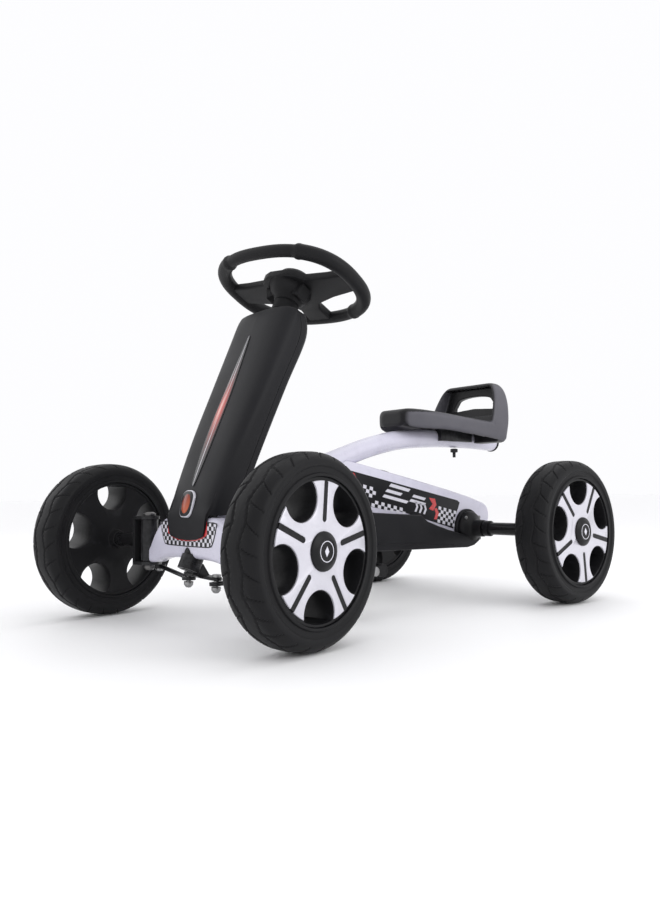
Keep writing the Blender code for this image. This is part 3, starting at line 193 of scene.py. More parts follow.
def make_materials():
    white, black = (0.6, 0.585, 0.7), (0.01, 0.01, 0.011)
    return {
        "white_paint": surface("white_paint", white, (0.65, 0.635, 0.745), (0.24, 0.32), 900.0, 0.00002,
                               coat=0.5, coat_roughness=0.12, wear=(0.5, 0.49, 0.56)),
        "shell": surface("shell_plastic", (0.01, 0.01, 0.012), (0.014, 0.014, 0.016), (0.4, 0.5),
                         1500.0, 0.00005, specular=0.16, pebbled=True, wear=(0.02, 0.02, 0.022)),
        # The seat's colours are those of the painted reflection on its sides; its colour attribute darkens
        # the rest to the plastic's own black.
        "seat": surface("seat_plastic", (0.085, 0.083, 0.098), (0.11, 0.107, 0.124), (0.36, 0.44),
                        1300.0, 0.00003, specular=0.3, painted=True, pebbled=True),
        "rim": surface("rim_plastic", (0.008, 0.008, 0.009), (0.012, 0.012, 0.013), (0.32, 0.42),
                       1100.0, 0.00003, specular=0.16, wear=(0.02, 0.02, 0.022)),
        "grip": surface("grip_plastic", (0.009, 0.009, 0.01), (0.013, 0.013, 0.014), (0.42, 0.52),
                        1700.0, 0.00006, specular=0.15, pebbled=True, wear=(0.02, 0.02, 0.022)),
        "tyre": surface("tyre_tread", (0.007, 0.007, 0.008), (0.011, 0.011, 0.012), (0.4, 0.52),
                        1200.0, 0.00005, patch=22.0, specular=0.15, pebbled=True, wear=(0.016, 0.016, 0.018)),
        "silver": surface("silver_trim", (0.6, 0.59, 0.65), (0.65, 0.64, 0.7), (0.28, 0.36), 2600.0,
                          0.00002, metallic=0.25, coat=0.3, wear=(0.5, 0.49, 0.55)),
        "black_paint": surface("black_paint", black, (0.014, 0.014, 0.015), (0.26, 0.36), 700.0,
                               0.00003, specular=0.2, coat=0.1, wear=(0.04, 0.04, 0.044)),
        "zinc": surface("plated_steel", (0.26, 0.26, 0.27), (0.36, 0.36, 0.355), (0.28, 0.42), 400.0,
                        0.00002, metallic=1.0, patch=60.0, stretch=(1, 1, 6)),
        "dark_steel": surface("dark_steel", (0.1, 0.1, 0.105), (0.17, 0.165, 0.16), (0.28, 0.42),
                              500.0, 0.00003, metallic=0.9, patch=80.0),
        "nylon": surface("nylon", (0.52, 0.51, 0.48), (0.6, 0.59, 0.56), (0.42, 0.5), 800.0, 0.00002),
        "ink_black": surface("print_black", (0.01, 0.01, 0.012), (0.013, 0.013, 0.015), (0.3, 0.38),
                             600.0, 0.00001, specular=0.2, coat=0.1, coat_roughness=0.2),
        "ink_white": surface("print_white", (0.66, 0.65, 0.72), (0.71, 0.7, 0.77), (0.2, 0.28), 600.0,
                             0.00001, coat=0.6, coat_roughness=0.08),
        "ink_red": surface("print_red", (0.5, 0.012, 0.016), (0.6, 0.022, 0.022), (0.18, 0.26), 600.0,
                           0.00001, coat=0.8, coat_roughness=0.06),
        # Its colour attribute holds the print colours and the painted highlights on the leaf print and the
        # badge gem.
        "gloss_print": surface("gloss_print", (0.92, 0.92, 0.92), (1, 1, 1), (0.2, 0.28), 500.0,
                               0.00001, specular=0.25, coat=0.25, coat_roughness=0.08, painted=True),
    }


MATERIALS = make_materials()
SLOT_OF = dict.fromkeys(("shell", "seat", "rim", "grip", "ink_black", "ink_red"), "black_plastic")
SLOT_OF.update(white_paint="white_paint", ink_white="white_paint", silver="silver", gloss_print="silver",
               black_paint="black_metal", zinc="steel", dark_steel="steel", tyre="tyre", nylon="nylon")

# ------------------------------------------------------------- mesh helpers


MERGE = 1e-6


def to_mesh(bm, name, angle=35):
    """Turn a bmesh into a mesh with its normals outwards, smooth except at edges past the angle."""
    bmesh.ops.remove_doubles(bm, verts=bm.verts, dist=MERGE)
    bmesh.ops.recalc_face_normals(bm, faces=bm.faces)
    mesh = bpy.data.meshes.new(name)
    bm.to_mesh(mesh)
    bm.free()
    mesh.shade_smooth()
    mesh.set_sharp_from_angle(angle=math.radians(angle))
    return mesh


def gather(bm, mesh):
    """Add a mesh to the bmesh, and drop the mesh."""
    bm.from_mesh(mesh)
    bpy.data.meshes.remove(mesh)


def sheet_mesh(name, points, wrap_rows=False, wrap_columns=False, caps=False):
    """Quads over rows of points. Wrapped rows join last to first, and caps close the end rows."""
    rows, columns = len(points), len(points[0])
    faces = []
    for i in range(rows if wrap_rows else rows - 1):
        for j in range(columns if wrap_columns else columns - 1):
            a, b = i * columns, ((i + 1) % rows) * columns
            k = (j + 1) % columns
            faces.append((a + j, a + k, b + k, b + j))
    if caps:
        faces.append(tuple(range(columns)))
        faces.append(tuple((rows - 1) * columns + j for j in range(columns)))
    mesh = bpy.data.meshes.new(name)
    mesh.from_pydata([tuple(point) for row in points for point in row], [], faces)
    return mesh


def grid_mesh(name, points, wrap_rows=False, wrap_columns=False, caps=False, angle=35):
    """A sheet_mesh with its seams merged and its normals outwards."""
    bm = bmesh.new()
    gather(bm, sheet_mesh(name, points, wrap_rows, wrap_columns, caps))
    return to_mesh(bm, name, angle)


def turned(name, profile, steps=72, ring=False, angle=35):
    """A profile of (radius, height) turned about Z. A ring's profile closes on itself."""
    bm = bmesh.new()
    points = [bm.verts.new((radius, 0, height)) for radius, height in profile]
    edges = [bm.edges.new(pair) for pair in zip(points, points[1:])]
    if ring:
        edges.append(bm.edges.new((points[-1], points[0])))
    bmesh.ops.spin(bm, geom=points + edges, axis=(0, 0, 1), cent=(0, 0, 0), steps=steps,
                   angle=math.tau, use_merge=True)
    return to_mesh(bm, name, angle)


def rounded_profile(profile, radius, ring=False, steps=3):
    """The profile with each corner off the axis replaced by a small arc."""
    out = []
    count = len(profile)
    for i, point in enumerate(profile):
        here = Vector(point)
        if (not ring and i in (0, count - 1)) or here.x < 1e-6:
            out.append(tuple(here))
            continue
        before, after = Vector(profile[i - 1]) - here, Vector(profile[(i + 1) % count]) - here
        reach = min(radius, before.length * 0.45, after.length * 0.45)
        start, end = here + before.normalized() * reach, here + after.normalized() * reach
        for k in range(steps + 1):
            t = k / steps
            out.append(tuple((1 - t) ** 2 * start + 2 * t * (1 - t) * here + t * t * end))
    return out


def cylinder(name, radius, low, high, steps):
    return turned(name, [(0, low), (radius, low), (radius, high), (0, high)], steps)


def lathed(name, profile, rounding, steps, ring=False):
    """A turned body with its profile's corners rounded."""
    return turned(name, rounded_profile(profile, rounding, ring), steps, ring)


def prism(name, outline, low, high, place, angle=35):
    """An outline extruded between two levels. place turns (a, b, level) into a point."""
    bm = bmesh.new()
    face = bm.faces.new([bm.verts.new(place(a, b, low)) for a, b in outline])
    shift = Vector(place(0, 0, high)) - Vector(place(0, 0, low))
    extruded = bmesh.ops.extrude_face_region(bm, geom=[face])["geom"]
    moved = [item for item in extruded if isinstance(item, bmesh.types.BMVert)]
    bmesh.ops.translate(bm, verts=moved, vec=shift)
    return to_mesh(bm, name, angle)


def across(a, b, level):
    return (level, a, b)


def flat(a, b, level):
    return (a, b, level)


def facing(a, b, level):
    return (a, level, b)


def circle_points(radius, count, centre=(0, 0), start=0.0, sweep=math.tau):
    """Points on an arc, or on a whole circle without its first point repeated."""
    span = count if abs(sweep - math.tau) < 1e-9 else count - 1
    angles = [start + sweep * i / span for i in range(count)]
    return [(centre[0] + radius * math.cos(a), centre[1] + radius * math.sin(a)) for a in angles]


def rotated(points, angle):
    cosine, sine = math.cos(angle), math.sin(angle)
    return [(a * cosine - b * sine, a * sine + b * cosine) for a, b in points]


def rounded_box(half_a, half_b, radius, corner=8):
    """A rectangle's outline with round corners of `corner` segments each."""
    outline = []
    for turn, (side_a, side_b) in enumerate(((1, 1), (-1, 1), (-1, -1), (1, -1))):
        centre = (side_a * (half_a - radius), side_b * (half_b - radius))
        outline += circle_points(radius, corner + 1, centre, turn * math.pi / 2, math.pi / 2)
    return outline


def smooth_path(points, steps):
    """A Catmull-Rom curve through the points, as an array."""
    knots = np.array([points[0], *points, points[-1]], float)
    path = []
    for a, b, c, d in zip(knots, knots[1:], knots[2:], knots[3:]):
        for i in range(steps):
            t = i / steps
            path.append(0.5 * (2 * b + (c - a) * t + (2 * a - 5 * b + 4 * c - d) * t ** 2
                               + (3 * b - a - 3 * c + d) * t ** 3))
    path.append(knots[-1])
    return np.array(path)


def inset(outline, distance):
    """A counterclockwise outline moved inwards, or outwards where distance is negative."""
    moved = []
    count = len(outline)
    for i in range(count):
        before, here, after = (Vector(outline[(i + k) % count]) for k in (-1, 0, 1))
        first, second = (here - before).normalized(), (after - here).normalized()
        normals = Vector((-first.y, first.x)) + Vector((-second.y, second.x))
        moved.append(tuple(here + normals * (distance / max(0.25, normals.length_squared / 2))))
    return moved


def sweep(name, path, radii, sides=32, closed=False, side_axis=Vector((1, 0, 0))):
    """A round bar along a path that lies in the plane square to side_axis."""
    rings = []
    count = len(path)
    path = [Vector(point) for point in path]
    for i, point in enumerate(path):
        before = path[i - 1] if closed or i > 0 else point
        after = path[(i + 1) % count] if closed or i < count - 1 else point
        up = (after - before).normalized().cross(side_axis).normalized()
        radius = radii[i] if isinstance(radii, (list, tuple, np.ndarray)) else radii
        rings.append([point + radius * (side_axis * math.cos(a) + up * math.sin(a))
                      for a in (math.tau * k / sides for k in range(sides))])
    return grid_mesh(name, rings, wrap_rows=closed, wrap_columns=True, caps=not closed)


def thing(name, mesh, matrix=None):
    """A new object with the matrix baked into its mesh, placed in the chassis frame by default."""
    mesh.transform(matrix if matrix is not None else TO_ROW)
    made = bpy.data.objects.new(name, mesh)
    bpy.context.scene.collection.objects.link(made)
    return made


def cutter(mesh, matrix=None):
    made = thing("cutter", mesh, matrix)
    made.hide_render = True
    return made


def apply_modifiers(obj):
    """Replace the mesh with what its modifiers make, and drop the modifiers and their cutters."""
    bpy.context.view_layer.update()
    graph = bpy.context.evaluated_depsgraph_get()
    mesh = bpy.data.meshes.new_from_object(obj.evaluated_get(graph))
    others = [step.object for step in obj.modifiers if step.type == "BOOLEAN"]
    obj.modifiers.clear()
    obj.data = mesh
    for other in set(others):
        bpy.data.objects.remove(other)
    return obj


def boolean(obj, operation, *others):
    for other in others:
        step = obj.modifiers.new("cut", "BOOLEAN")
        step.operation = operation
        step.object = other
        step.solver = "EXACT"


def bevel(obj, width, segments=3, angle=35):
    step = obj.modifiers.new("bevel", "BEVEL")
    step.width = width
    step.segments = segments
    step.limit_method = "ANGLE"
    step.angle_limit = math.radians(angle)
    step.use_clamp_overlap = True
    return obj


def thicken(obj, thickness):
    """Give a skin a wall on its inner side."""
    step = obj.modifiers.new("wall", "SOLIDIFY")
    step.thickness = thickness
    step.offset = -1.0


def smooth(obj, angle=35):
    obj.data.shade_smooth()
    obj.data.set_sharp_from_angle(angle=math.radians(angle))


def settle(obj, angle=35):
    """Apply the modifiers, then shade smooth except at edges past the angle."""
    apply_modifiers(obj)
    smooth(obj, angle)
    return obj


def finish(obj, material, body, *nodes):
    """Give a piece its material, set it to move with a body and stand for CAD nodes."""
    obj.data.materials.clear()
    obj.data.materials.append(MATERIALS[material])
    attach(obj, body)
    if nodes:
        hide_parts(*nodes)
    return obj


def refine(node, material, width=0.0005, angle=32, segments=2):
    """A copy of a CAD node with its flat facets joined and its edges rounded."""
    source = frame["nodes"][node]
    bm = bmesh.new()
    bm.from_mesh(source.data)
    bmesh.ops.remove_doubles(bm, verts=bm.verts, dist=2e-6)
    bmesh.ops.dissolve_limit(bm, angle_limit=math.radians(0.6), verts=bm.verts, edges=bm.edges)
    mesh = to_mesh(bm, node + "_look", angle)
    obj = thing(node + "_look", mesh, Matrix.Identity(4))
    if width:
        bevel(obj, width, segments, angle)
        apply_modifiers(obj)
    smooth(obj, angle + 6)
    return finish(obj, material, source["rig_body"], node)


ALONG_X = Matrix.Rotation(math.pi / 2, 4, "Y")


def along(side):
    """Turns +Z outwards on a side."""
    return ALONG_X if side > 0 else Matrix.Rotation(math.pi, 4, "Z") @ ALONG_X


def in_row(x, y, z):
    return TO_ROW @ Matrix.Translation((x, y, z))


# ----------------------------------------------------------------- wheels
RIM_RADIUS = 0.0927
TYRE_HALF_WIDTH = 0.0305
TREAD_REPEATS = 14
HOLE_PITCH_RADIUS = 0.0765
HOLE_RADIUS = 0.0285
HUBCAP_RADIUS = 0.0877
FACE = 0.0278
SLOT_INNER = 0.04
SLOT_WIDTH = 0.0075


def groove(distance, width):
    """How deep a groove is at a distance from its line, from 0 to 1."""
    return 1.0 - np.clip((np.abs(distance) - width * 0.35) / (width * 0.3), 0, 1)


def tread_depth(turns, x):
    """Groove depth in metres. turns counts tread repeats round the tyre and x is across it."""
    depth = np.zeros(np.broadcast(turns, x).shape)
    for side, shift in ((1, 0.0), (-1, 0.5)):
        phase = (turns + shift) % 1.0
        wave = np.abs(phase - 0.5) * 2.0
        outwards = x * side
        line = 0.0075 + 0.0065 * wave
        depth = np.maximum(depth, groove(outwards - line, 0.0026) * (outwards > 0.003))
        for start, lean in ((0.0, 0.34), (0.5, 0.2)):
            first = 0.014 if start == 0.0 else 0.0075
            along_tread = (phase - start - lean * (outwards - first) / 0.02 + 0.5) % 1.0 - 0.5
            inside = (outwards > first) & (outwards < 0.031)
            depth = np.maximum(depth, groove(along_tread * 0.056, 0.0024) * inside)
    return depth * 0.0017


def tyre_mesh():
    """A tyre whose crown is cut by the tread's grooves."""
    wide = TYRE_HALF_WIDTH
    half = [(wide - 0.0002, 0.0931), (wide, 0.094), (wide, 0.0966), (wide - 0.0026, 0.0976),
            (wide - 0.0022, 0.105), (wide - 0.0002, 0.1066), (wide, 0.11), (wide - 0.0001, 0.1132),
            (0.0299, 0.1148)]
    half = rounded_profile([(r, x) for x, r in half], 0.0007, steps=2)
    rows = [(x, r, 0.0) for r, x in half]
    crown = smooth_path([(0.0299, 0.1148), (0.0284, 0.1173), (0.0262, 0.1195), (0.0222, 0.1222),
                         (0.0178, 0.1238), (0.011, 0.1246), (0.0, WHEEL_RADIUS)], 6)
    rows += [(x, r, 1.0) for x, r in crown[1:]]
    rows += [(-x, r, w) for x, r, w in reversed(rows[:-1])]
    rows = np.array(rows)
    steps = TREAD_REPEATS * 28
    turns = np.arange(steps) * TREAD_REPEATS / steps
    depth = tread_depth(turns[:, None], rows[None, :, 0]) * rows[None, :, 2]
    depth *= np.clip((rows[None, :, 1] - 0.115) / 0.002, 0, 1)
    radius = rows[None, :, 1] - depth
    angle = turns[:, None] * math.tau / TREAD_REPEATS
    width = np.broadcast_to(rows[None, :, 0], radius.shape)
    points = np.stack([radius * np.cos(angle), radius * np.sin(angle), width], -1)
    return grid_mesh("tyre", points, wrap_rows=True, wrap_columns=True, angle=28)


def hole_outline(angle, count=48):
    """A rim hole, flattened where it would reach the rim's flange."""
    centre = (HOLE_PITCH_RADIUS * math.cos(angle), HOLE_PITCH_RADIUS * math.sin(angle))
    outline = []
    for a, b in circle_points(HOLE_RADIUS, count, centre, angle):
        scale = min(1.0, 0.089 / math.hypot(a, b))
        outline.append((a * scale, b * scale))
    return outline


def rim_mesh():
    profile = [(0, -FACE - 0.008), (0.0128, -FACE - 0.008), (0.0155, -0.0255), (0.03, -0.0245),
               (0.088, -0.0245), (0.0895, -FACE), (RIM_RADIUS, -FACE), (RIM_RADIUS, FACE), (0, FACE)]
    here = Matrix.Identity(4)
    body = thing("rim_body", lathed("rim_body", profile, 0.001, 96), here)
    cuts = [prism("hole", hole_outline(math.tau * (i + 0.5) / 5), -0.05, 0.05, flat) for i in range(5)]
    cuts += [cylinder("bore", 0.0069, -0.06, 0.06, 40), cylinder("pocket", 0.015, FACE - 0.011, 0.06, 48)]
    boolean(body, "DIFFERENCE", *[cutter(cut, here) for cut in cuts])
    bevel(body, 0.0009, 2, 40)
    mesh = settle(body, 40).data
    bpy.data.objects.remove(body)
    return mesh


def hubcap_mesh():
    """A flat star, with a round bay at each rim hole and a slot along each spoke."""
    bay = HOLE_RADIUS + 0.0012
    opening = math.acos((HUBCAP_RADIUS ** 2 + HOLE_PITCH_RADIUS ** 2 - bay ** 2)
                        / (2 * HUBCAP_RADIUS * HOLE_PITCH_RADIUS))
    slot_half = math.asin(SLOT_WIDTH / 2 / HUBCAP_RADIUS)
    half_pitch = math.pi / 5
    land = half_pitch - opening - slot_half
    start = math.atan2(HUBCAP_RADIUS * math.sin(opening),
                       HUBCAP_RADIUS * math.cos(opening) - HOLE_PITCH_RADIUS)
    arc = circle_points(bay, 44, (HOLE_PITCH_RADIUS, 0), -start, 2 * start - math.tau)[1:-1]
    sector = circle_points(HUBCAP_RADIUS, 9, (0, 0), opening - half_pitch, land)
    sector += circle_points(SLOT_WIDTH / 2, 14, (SLOT_INNER, 0), -math.pi / 2, -math.pi)
    sector += circle_points(HUBCAP_RADIUS, 9, (0, 0), slot_half, land)
    sector += rotated(arc, half_pitch)
    outline = [point for i in range(5) for point in rotated(sector, math.tau * i / 5)]
    low, high = FACE + 0.0003, FACE + 0.0027
    levels = ((0.0, low), (0.0, high - 0.001), (0.00025, high - 0.0004), (0.0009, high))
    rings = [[(a, b, level) for a, b in inset(outline, step)] for step, level in levels]
    return grid_mesh("hubcap", rings, wrap_columns=True, caps=True, angle=50)


def slot_mesh():
    """Black ribs of the rim that stand in the hubcap's slots."""
    half = SLOT_WIDTH / 2 - 0.00015
    outline = circle_points(half, 14, (SLOT_INNER, 0), math.pi / 2, math.pi)
    outline += [(0.087, -half), (0.087, half)]
    bm = bmesh.new()
    for i in range(5):
        gather(bm, prism("rib", rotated(outline, math.tau * i / 5), FACE - 0.0003, FACE + 0.0021, flat))
    return to_mesh(bm, "slot_ribs")


def cap_mesh():
    low = FACE + 0.003
    profile = [(0, low + 0.004), (0.01, low + 0.0036), (0.014, low), (0.0252, low),
               (0.0246, low + 0.0026), (0.0205, low + 0.0048), (0.0172, low + 0.0062),
               (0.015, low + 0.0062), (0.0146, low + 0.0056), (0, low + 0.0056)]
    return lathed("cap", profile, 0.0006, 64)


def emblem_meshes():
    """A plain ring and a small diamond on the centre cap."""
    low = FACE + 0.0086
    high = low + 0.0004
    ring = turned("cap_ring", [(0.0122, low), (0.0132, low), (0.0132, high), (0.0122, high)], 64, ring=True)
    diamond = [(0.0066, 0), (0, 0.004), (-0.0066, 0), (0, -0.004)]
    return ring, prism("cap_diamond", diamond, low, high, flat)


def hub_frame(joint, side, half_steps, height):
    """The wheel's frame, with Z outwards and spoke slot number 0 up."""
    centre, axis = Vector(joint["pos_m"]), Vector(joint["axis"]) * side
    down = Vector((0, 0, -1))
    frame_of = Matrix((down, axis.cross(down), axis)).transposed().to_4x4()
    frame_of.translation = centre
    spoke_up = math.pi - side * half_steps * math.pi / 32
    return frame_of @ Matrix.Rotation(spoke_up, 4, "Z") @ Matrix.Translation((0, 0, height))


def make_wheels():
    shapes = (("tyre", tyre_mesh(), "tyre"), ("wheel_rim", rim_mesh(), "rim"),
              ("hubcap", hubcap_mesh(), "silver"), ("centre_cap", cap_mesh(), "rim"))
    ring, diamond = emblem_meshes()
    extras = (("slot_ribs", slot_mesh(), "rim"), ("cap_ring", ring, "ink_white"),
              ("cap_diamond", diamond, "ink_white"))
    for end, name, side, half_steps in (("front", "left", 1, 1), ("front", "right", -1, 31),
                                        ("rear", "left", 1, 31), ("rear", "right", -1, 3)):
        if end == "front":
            body, joint, shift = "front_wheel_" + name, JOINTS["front_wheel_%s_spin" % name], 0.0
        else:
            body, joint, shift = "rear_axle", JOINTS["rear_axle_spin"], REAR_TRACK / 2
        place = hub_frame(joint, side, half_steps, shift)
        for part, mesh, material in shapes:
            node = "%s_%s_%s" % (part, end, name)
            finish(thing(node + "_look", mesh.copy(), place), material, body, node)
        for part, mesh, material in extras:
            finish(thing("%s_%s_%s" % (part, end, name), mesh.copy(), place), material, body)


# ---------------------------------------------------------------- chassis
# (back, up) along the spine tube's middle line, from the front.
SPINE_POINTS = mm(((18, 142), (60, 160), (130, 194), (210, 227), (300, 257), (376, 280), (456, 295.5),
                   (542, 302), (604, 303.5), (668, 303), (738, 300.5)))
# The CAD beam's side, which the chain cover is cut to.
BEAM_OUTLINE = mm(((130, 118), (130, 205), (300, 262), (345, 255.5), (401, 241.5), (454, 230), (570, 206),
                   (632, 192.5), (692, 179.5), (708, 173.5), (716.5, 160), (716.5, 143), (704, 120),
                   (675, 104), (600, 100), (520, 118)))
# (back, up) along the cover's top edge, from the rear.
COVER_TOP = mm(((600, 112), (575, 118), (545, 125), (515, 133.5), (485, 143), (468, 155), (409, 158),
                (345, 162)))
BOSS_RADIUS, BOSS_FACE = 0.0375, 0.027
# (half span, bottom, top) outwards from the middle.
CROSSBEAM_SECTIONS = mm(((0, 103, 165), (50, 102, 164), (75, 99, 158), (95, 94, 141), (109, 90, 122),
                         (119, 87, 112)))
CROSSBEAM_Y, CROSSBEAM_DEPTH = 0.008, 0.03


BEAM_REAR = mm(((668, 104), (690, 120), (700, 143), (699.5, 156), (694, 167), (682, 174.5)))
BEAM_TOP = mm(((632, 188), (570, 201.5), (454, 224.5), (401, 234.5), (345, 245.5), (300, 253), (130, 205)))
SPINE_SLACK = 0.0005
KINGPIN_X = 0.125
CHAIN_PITCH, CHAIN_X = 0.0127, 0.008


def spine_path(steps=8):
    return [(0, back, up) for back, up in smooth_path(SPINE_POINTS, steps)]


def column_back(height):
    """How far back the steering column's axis is at a height."""
    return HUB_BACK + (height - HUB_HEIGHT) * math.tan(COLUMN_TILT)


def on_column(height):
    return in_row(0, column_back(height), height) @ Matrix.Rotation(-COLUMN_TILT, 4, "X")


def at_rear_axle(side=1):
    return in_row(0, WHEELBASE, WHEEL_RADIUS) @ along(side)


def column_space(height, radius, low=-0.05, high=0.3):
    return cutter(cylinder("column_space", radius, low, high, 48), on_column(height))


def round_space(y, z, radius):
    """A cutter across the whole chassis."""
    return cutter(cylinder("round_space", radius, -0.1, 0.1, 48), in_row(0, y, z) @ ALONG_X)


def make_spine():
    spine = thing("spine_tube_look", sweep("spine", spine_path(), SPINE_RADIUS - SPINE_SLACK, 56))
    front = cutter(prism("front", ((-0.1, 0), (0.0233, 0), (0.0233, 0.3), (-0.1, 0.3)), -0.1, 0.1, across))
    boolean(spine, "DIFFERENCE", column_space(HEAD_TUBE_FOOT, COLUMN_BORE), front)
    finish(settle(spine, 40), "white_paint", "frame", "spine_tube")
    last, before = Vector(spine_path(2)[-1]), Vector(spine_path(2)[-2])
    turn = Vector((0, 0, 1)).rotation_difference((last - before).normalized()).to_matrix().to_4x4()
    profile = [(0, 0.0003), (SPINE_RADIUS, 0.0003), (0.0193, 0.001), (0.0193, 0.005), (0.0165, 0.0078),
               (0.007, 0.008), (0.006, 0.0074), (0, 0.0074)]
    cap = thing("spine_end_cap_look", lathed("end_cap", profile, 0.0012, 56),
                TO_ROW @ Matrix.Translation(last) @ turn)
    finish(cap, "shell", "frame", "spine_end_cap")


def make_beam():
    rear = [tuple(point) for point in smooth_path(BEAM_REAR, 5)]
    outline = [(0.52, 0.118), (0.6, 0.1), *rear, *BEAM_TOP, (0.13, 0.118)]
    beam = thing("main_beam_look", prism("beam", outline, -BEAM_HALF_WIDTH, BEAM_HALF_WIDTH, across))
    bevel(beam, 0.004, 5, 60)
    apply_modifiers(beam)
    hollow = [(back, up if up > 0.13 else up - 0.08) for back, up in inset(outline, WALL)]
    half = BEAM_HALF_WIDTH - WALL
    room = cutter(prism("room", hollow, -half, half, across))
    tube = cutter(sweep("tube", spine_path(), SPINE_RADIUS + 0.0002, 56))
    boolean(beam, "DIFFERENCE", room, tube, round_space(CRANK_Y, CRANK_Z, 0.0125),
            round_space(WHEELBASE, WHEEL_RADIUS, 0.0165))
    finish(settle(beam, 32), "white_paint", "frame", "main_beam")


def make_crossbeam():
    half = [(x, (low + high) / 2, (high - low) / 2) for x, low, high in CROSSBEAM_SECTIONS]
    stations = [(-x, middle, tall) for x, middle, tall in reversed(half[1:])] + half
    rings = []
    for x, middle, tall in smooth_path(stations, 7):
        outline = rounded_box(CROSSBEAM_DEPTH / 2, tall, 0.0085, 6)
        rings.append([(x, CROSSBEAM_Y + a, middle + b) for a, b in outline])
    skin = grid_mesh("crossbeam", rings, wrap_columns=True, caps=True, angle=40)
    beam = thing("front_crossbeam_look", skin)
    cuts = [column_space(HEAD_TUBE_FOOT, COLUMN_BORE), column_space(0.085, 0.0178, -0.05, 0.0236)]
    for _, side in SIDES:
        for radius, high in ((0.0138, 0.3), (0.036, 0.0917)):
            cuts.append(cutter(cylinder("space", radius, 0.0, high, 56), in_row(side * KINGPIN_X, 0, 0)))
    boolean(beam, "DIFFERENCE", *cuts)
    finish(settle(beam, 40), "white_paint", "frame", "front_crossbeam")


def make_cover():
    """The chain cover: a trough round the chain and a boss round the rear axle."""
    rear = [(0.605, 0.0882), (0.625, 0.0915), (0.64, 0.099), (0.645, 0.106)]
    front = circle_points(0.047, 30, (CRANK_Y, CRANK_Z), math.pi * 0.44, math.pi * 1.02)
    outline = rear + list(COVER_TOP) + front
    low, high = COVER_RIGHT_X, COVER_LEFT_X
    cover = thing("chain_cover_look", prism("cover", outline, low, high, across))
    bevel(cover, 0.0028, 4, 50)
    apply_modifiers(cover)
    profile = [(0, low), (BOSS_RADIUS, low), (BOSS_RADIUS, BOSS_FACE), (0, BOSS_FACE)]
    boss = thing("boss", lathed("boss", profile, 0.003, 96), at_rear_axle())
    room = cutter(prism("room", inset(outline, WALL), low + WALL, high - WALL, across))
    hollow = cylinder("boss_room", BOSS_RADIUS - WALL, low + WALL, BOSS_FACE - WALL, 64)
    hollow = cutter(hollow, at_rear_axle())
    mouth = ((0.1, 0.139), (0.4, 0.139), (0.6, 0.11), (0.76, 0.11), (0.76, 0.3), (0.1, 0.3))
    reach = BEAM_HALF_WIDTH + 0.0003
    slot = cutter(prism("mouth", mouth, -reach, reach, across))
    beam = cutter(prism("beam", inset(BEAM_OUTLINE[::-1], -0.0003), -reach, reach, across))
    boolean(cover, "UNION", boss)
    boolean(cover, "DIFFERENCE", room, hollow, slot, beam, round_space(CRANK_Y, CRANK_Z, 0.015),
            round_space(WHEELBASE, WHEEL_RADIUS, 0.017))
    finish(settle(cover, 32), "shell", "frame", "chain_cover")
    rib = [(0.352, 0.1045), (0.44, 0.099), (0.518, 0.093), (0.56, 0.0915)]
    for name, x in (("left", COVER_LEFT_X), ("right", COVER_RIGHT_X)):
        lip = [(0, back, up + 0.003) for back, up in smooth_path(rib, 8)]
        bar = thing("cover_lip_" + name, sweep("lip", lip, 0.0012, 10), in_row(x, 0, 0))
        finish(bar, "shell", "frame")


def make_bearings():
    """The bearing cups at the rear axle, their screws, the axle and its collars."""
    head = [(0, 0.0014), (0.0014, 0.0014), (0.0018, 0.0026), (0.0034, 0.0022), (0.0036, 0.0), (0, 0.0)]
    for name, side in SIDES:
        wall = BOSS_FACE if side > 0 else -COVER_RIGHT_X
        end = (COVER_LEFT_X if side > 0 else -COVER_RIGHT_X) + 0.025
        profile = [(0.0111, 0.0178), (0.0162, 0.0178), (0.0162, wall + 0.0003), (0.0335, wall + 0.0003),
                   (0.0335, wall + 0.004), (0.03, wall + 0.0095), (0.0215, wall + 0.015),
                   (0.0172, wall + 0.019), (0.016, end), (0.0111, end)]
        place = at_rear_axle(side)
        cup = thing("rear_bearing_%s_look" % name, lathed("cup", profile, 0.0016, 72, True), place)
        finish(cup, "rim", "frame", "rear_bearing_" + name)
        for k, (a, b) in enumerate(circle_points(0.0292, 4, start=math.pi / 4)):
            at = place @ Matrix.Translation((a, b, wall + 0.0088))
            screw = thing("bearing_screw_%s_%d" % (name, k), lathed("screw", head, 0.0003, 24), at)
            finish(screw, "zinc", "frame")
    shoulder = REAR_TRACK / 2 - FACE - 0.0086
    nut = REAR_TRACK / 2 + FACE - 0.0104
    half = [(0.0108, 0.068), (0.0119, 0.069), (0.0119, shoulder - 0.001), (0.011, shoulder),
            (0.0065, shoulder), (0.0065, nut), (0.0105, nut), (0.0105, nut + 0.007),
            (0.0065, nut + 0.007), (0.0055, nut + 0.0085), (0, nut + 0.0085)]
    profile = [(radius, -at) for radius, at in reversed(half)] + half
    axle = thing("rear_axle_look", lathed("axle", profile, 0.0006, 48), at_rear_axle())
    finish(axle, "black_paint", "rear_axle", "rear_axle")
    collar = [(0.011, 0.0675), (0.015, 0.0675), (0.015, 0.08), (0.011, 0.08)]
    for name, side in SIDES:
        ring = thing("axle_collar_" + name, lathed("collar", collar, 0.001, 48, True), at_rear_axle(side))
        finish(ring, "rim", "rear_axle")


def link_outline(radius, waist):
    """Side view of one chain plate, a figure of eight."""
    outline = circle_points(radius, 12, (CHAIN_PITCH / 2, 0), -math.pi * 0.62, math.pi * 1.24)
    outline += [(0, waist)]
    outline += circle_points(radius, 12, (-CHAIN_PITCH / 2, 0), math.pi * 0.38, math.pi * 1.24)
    return outline + [(0, -waist)]


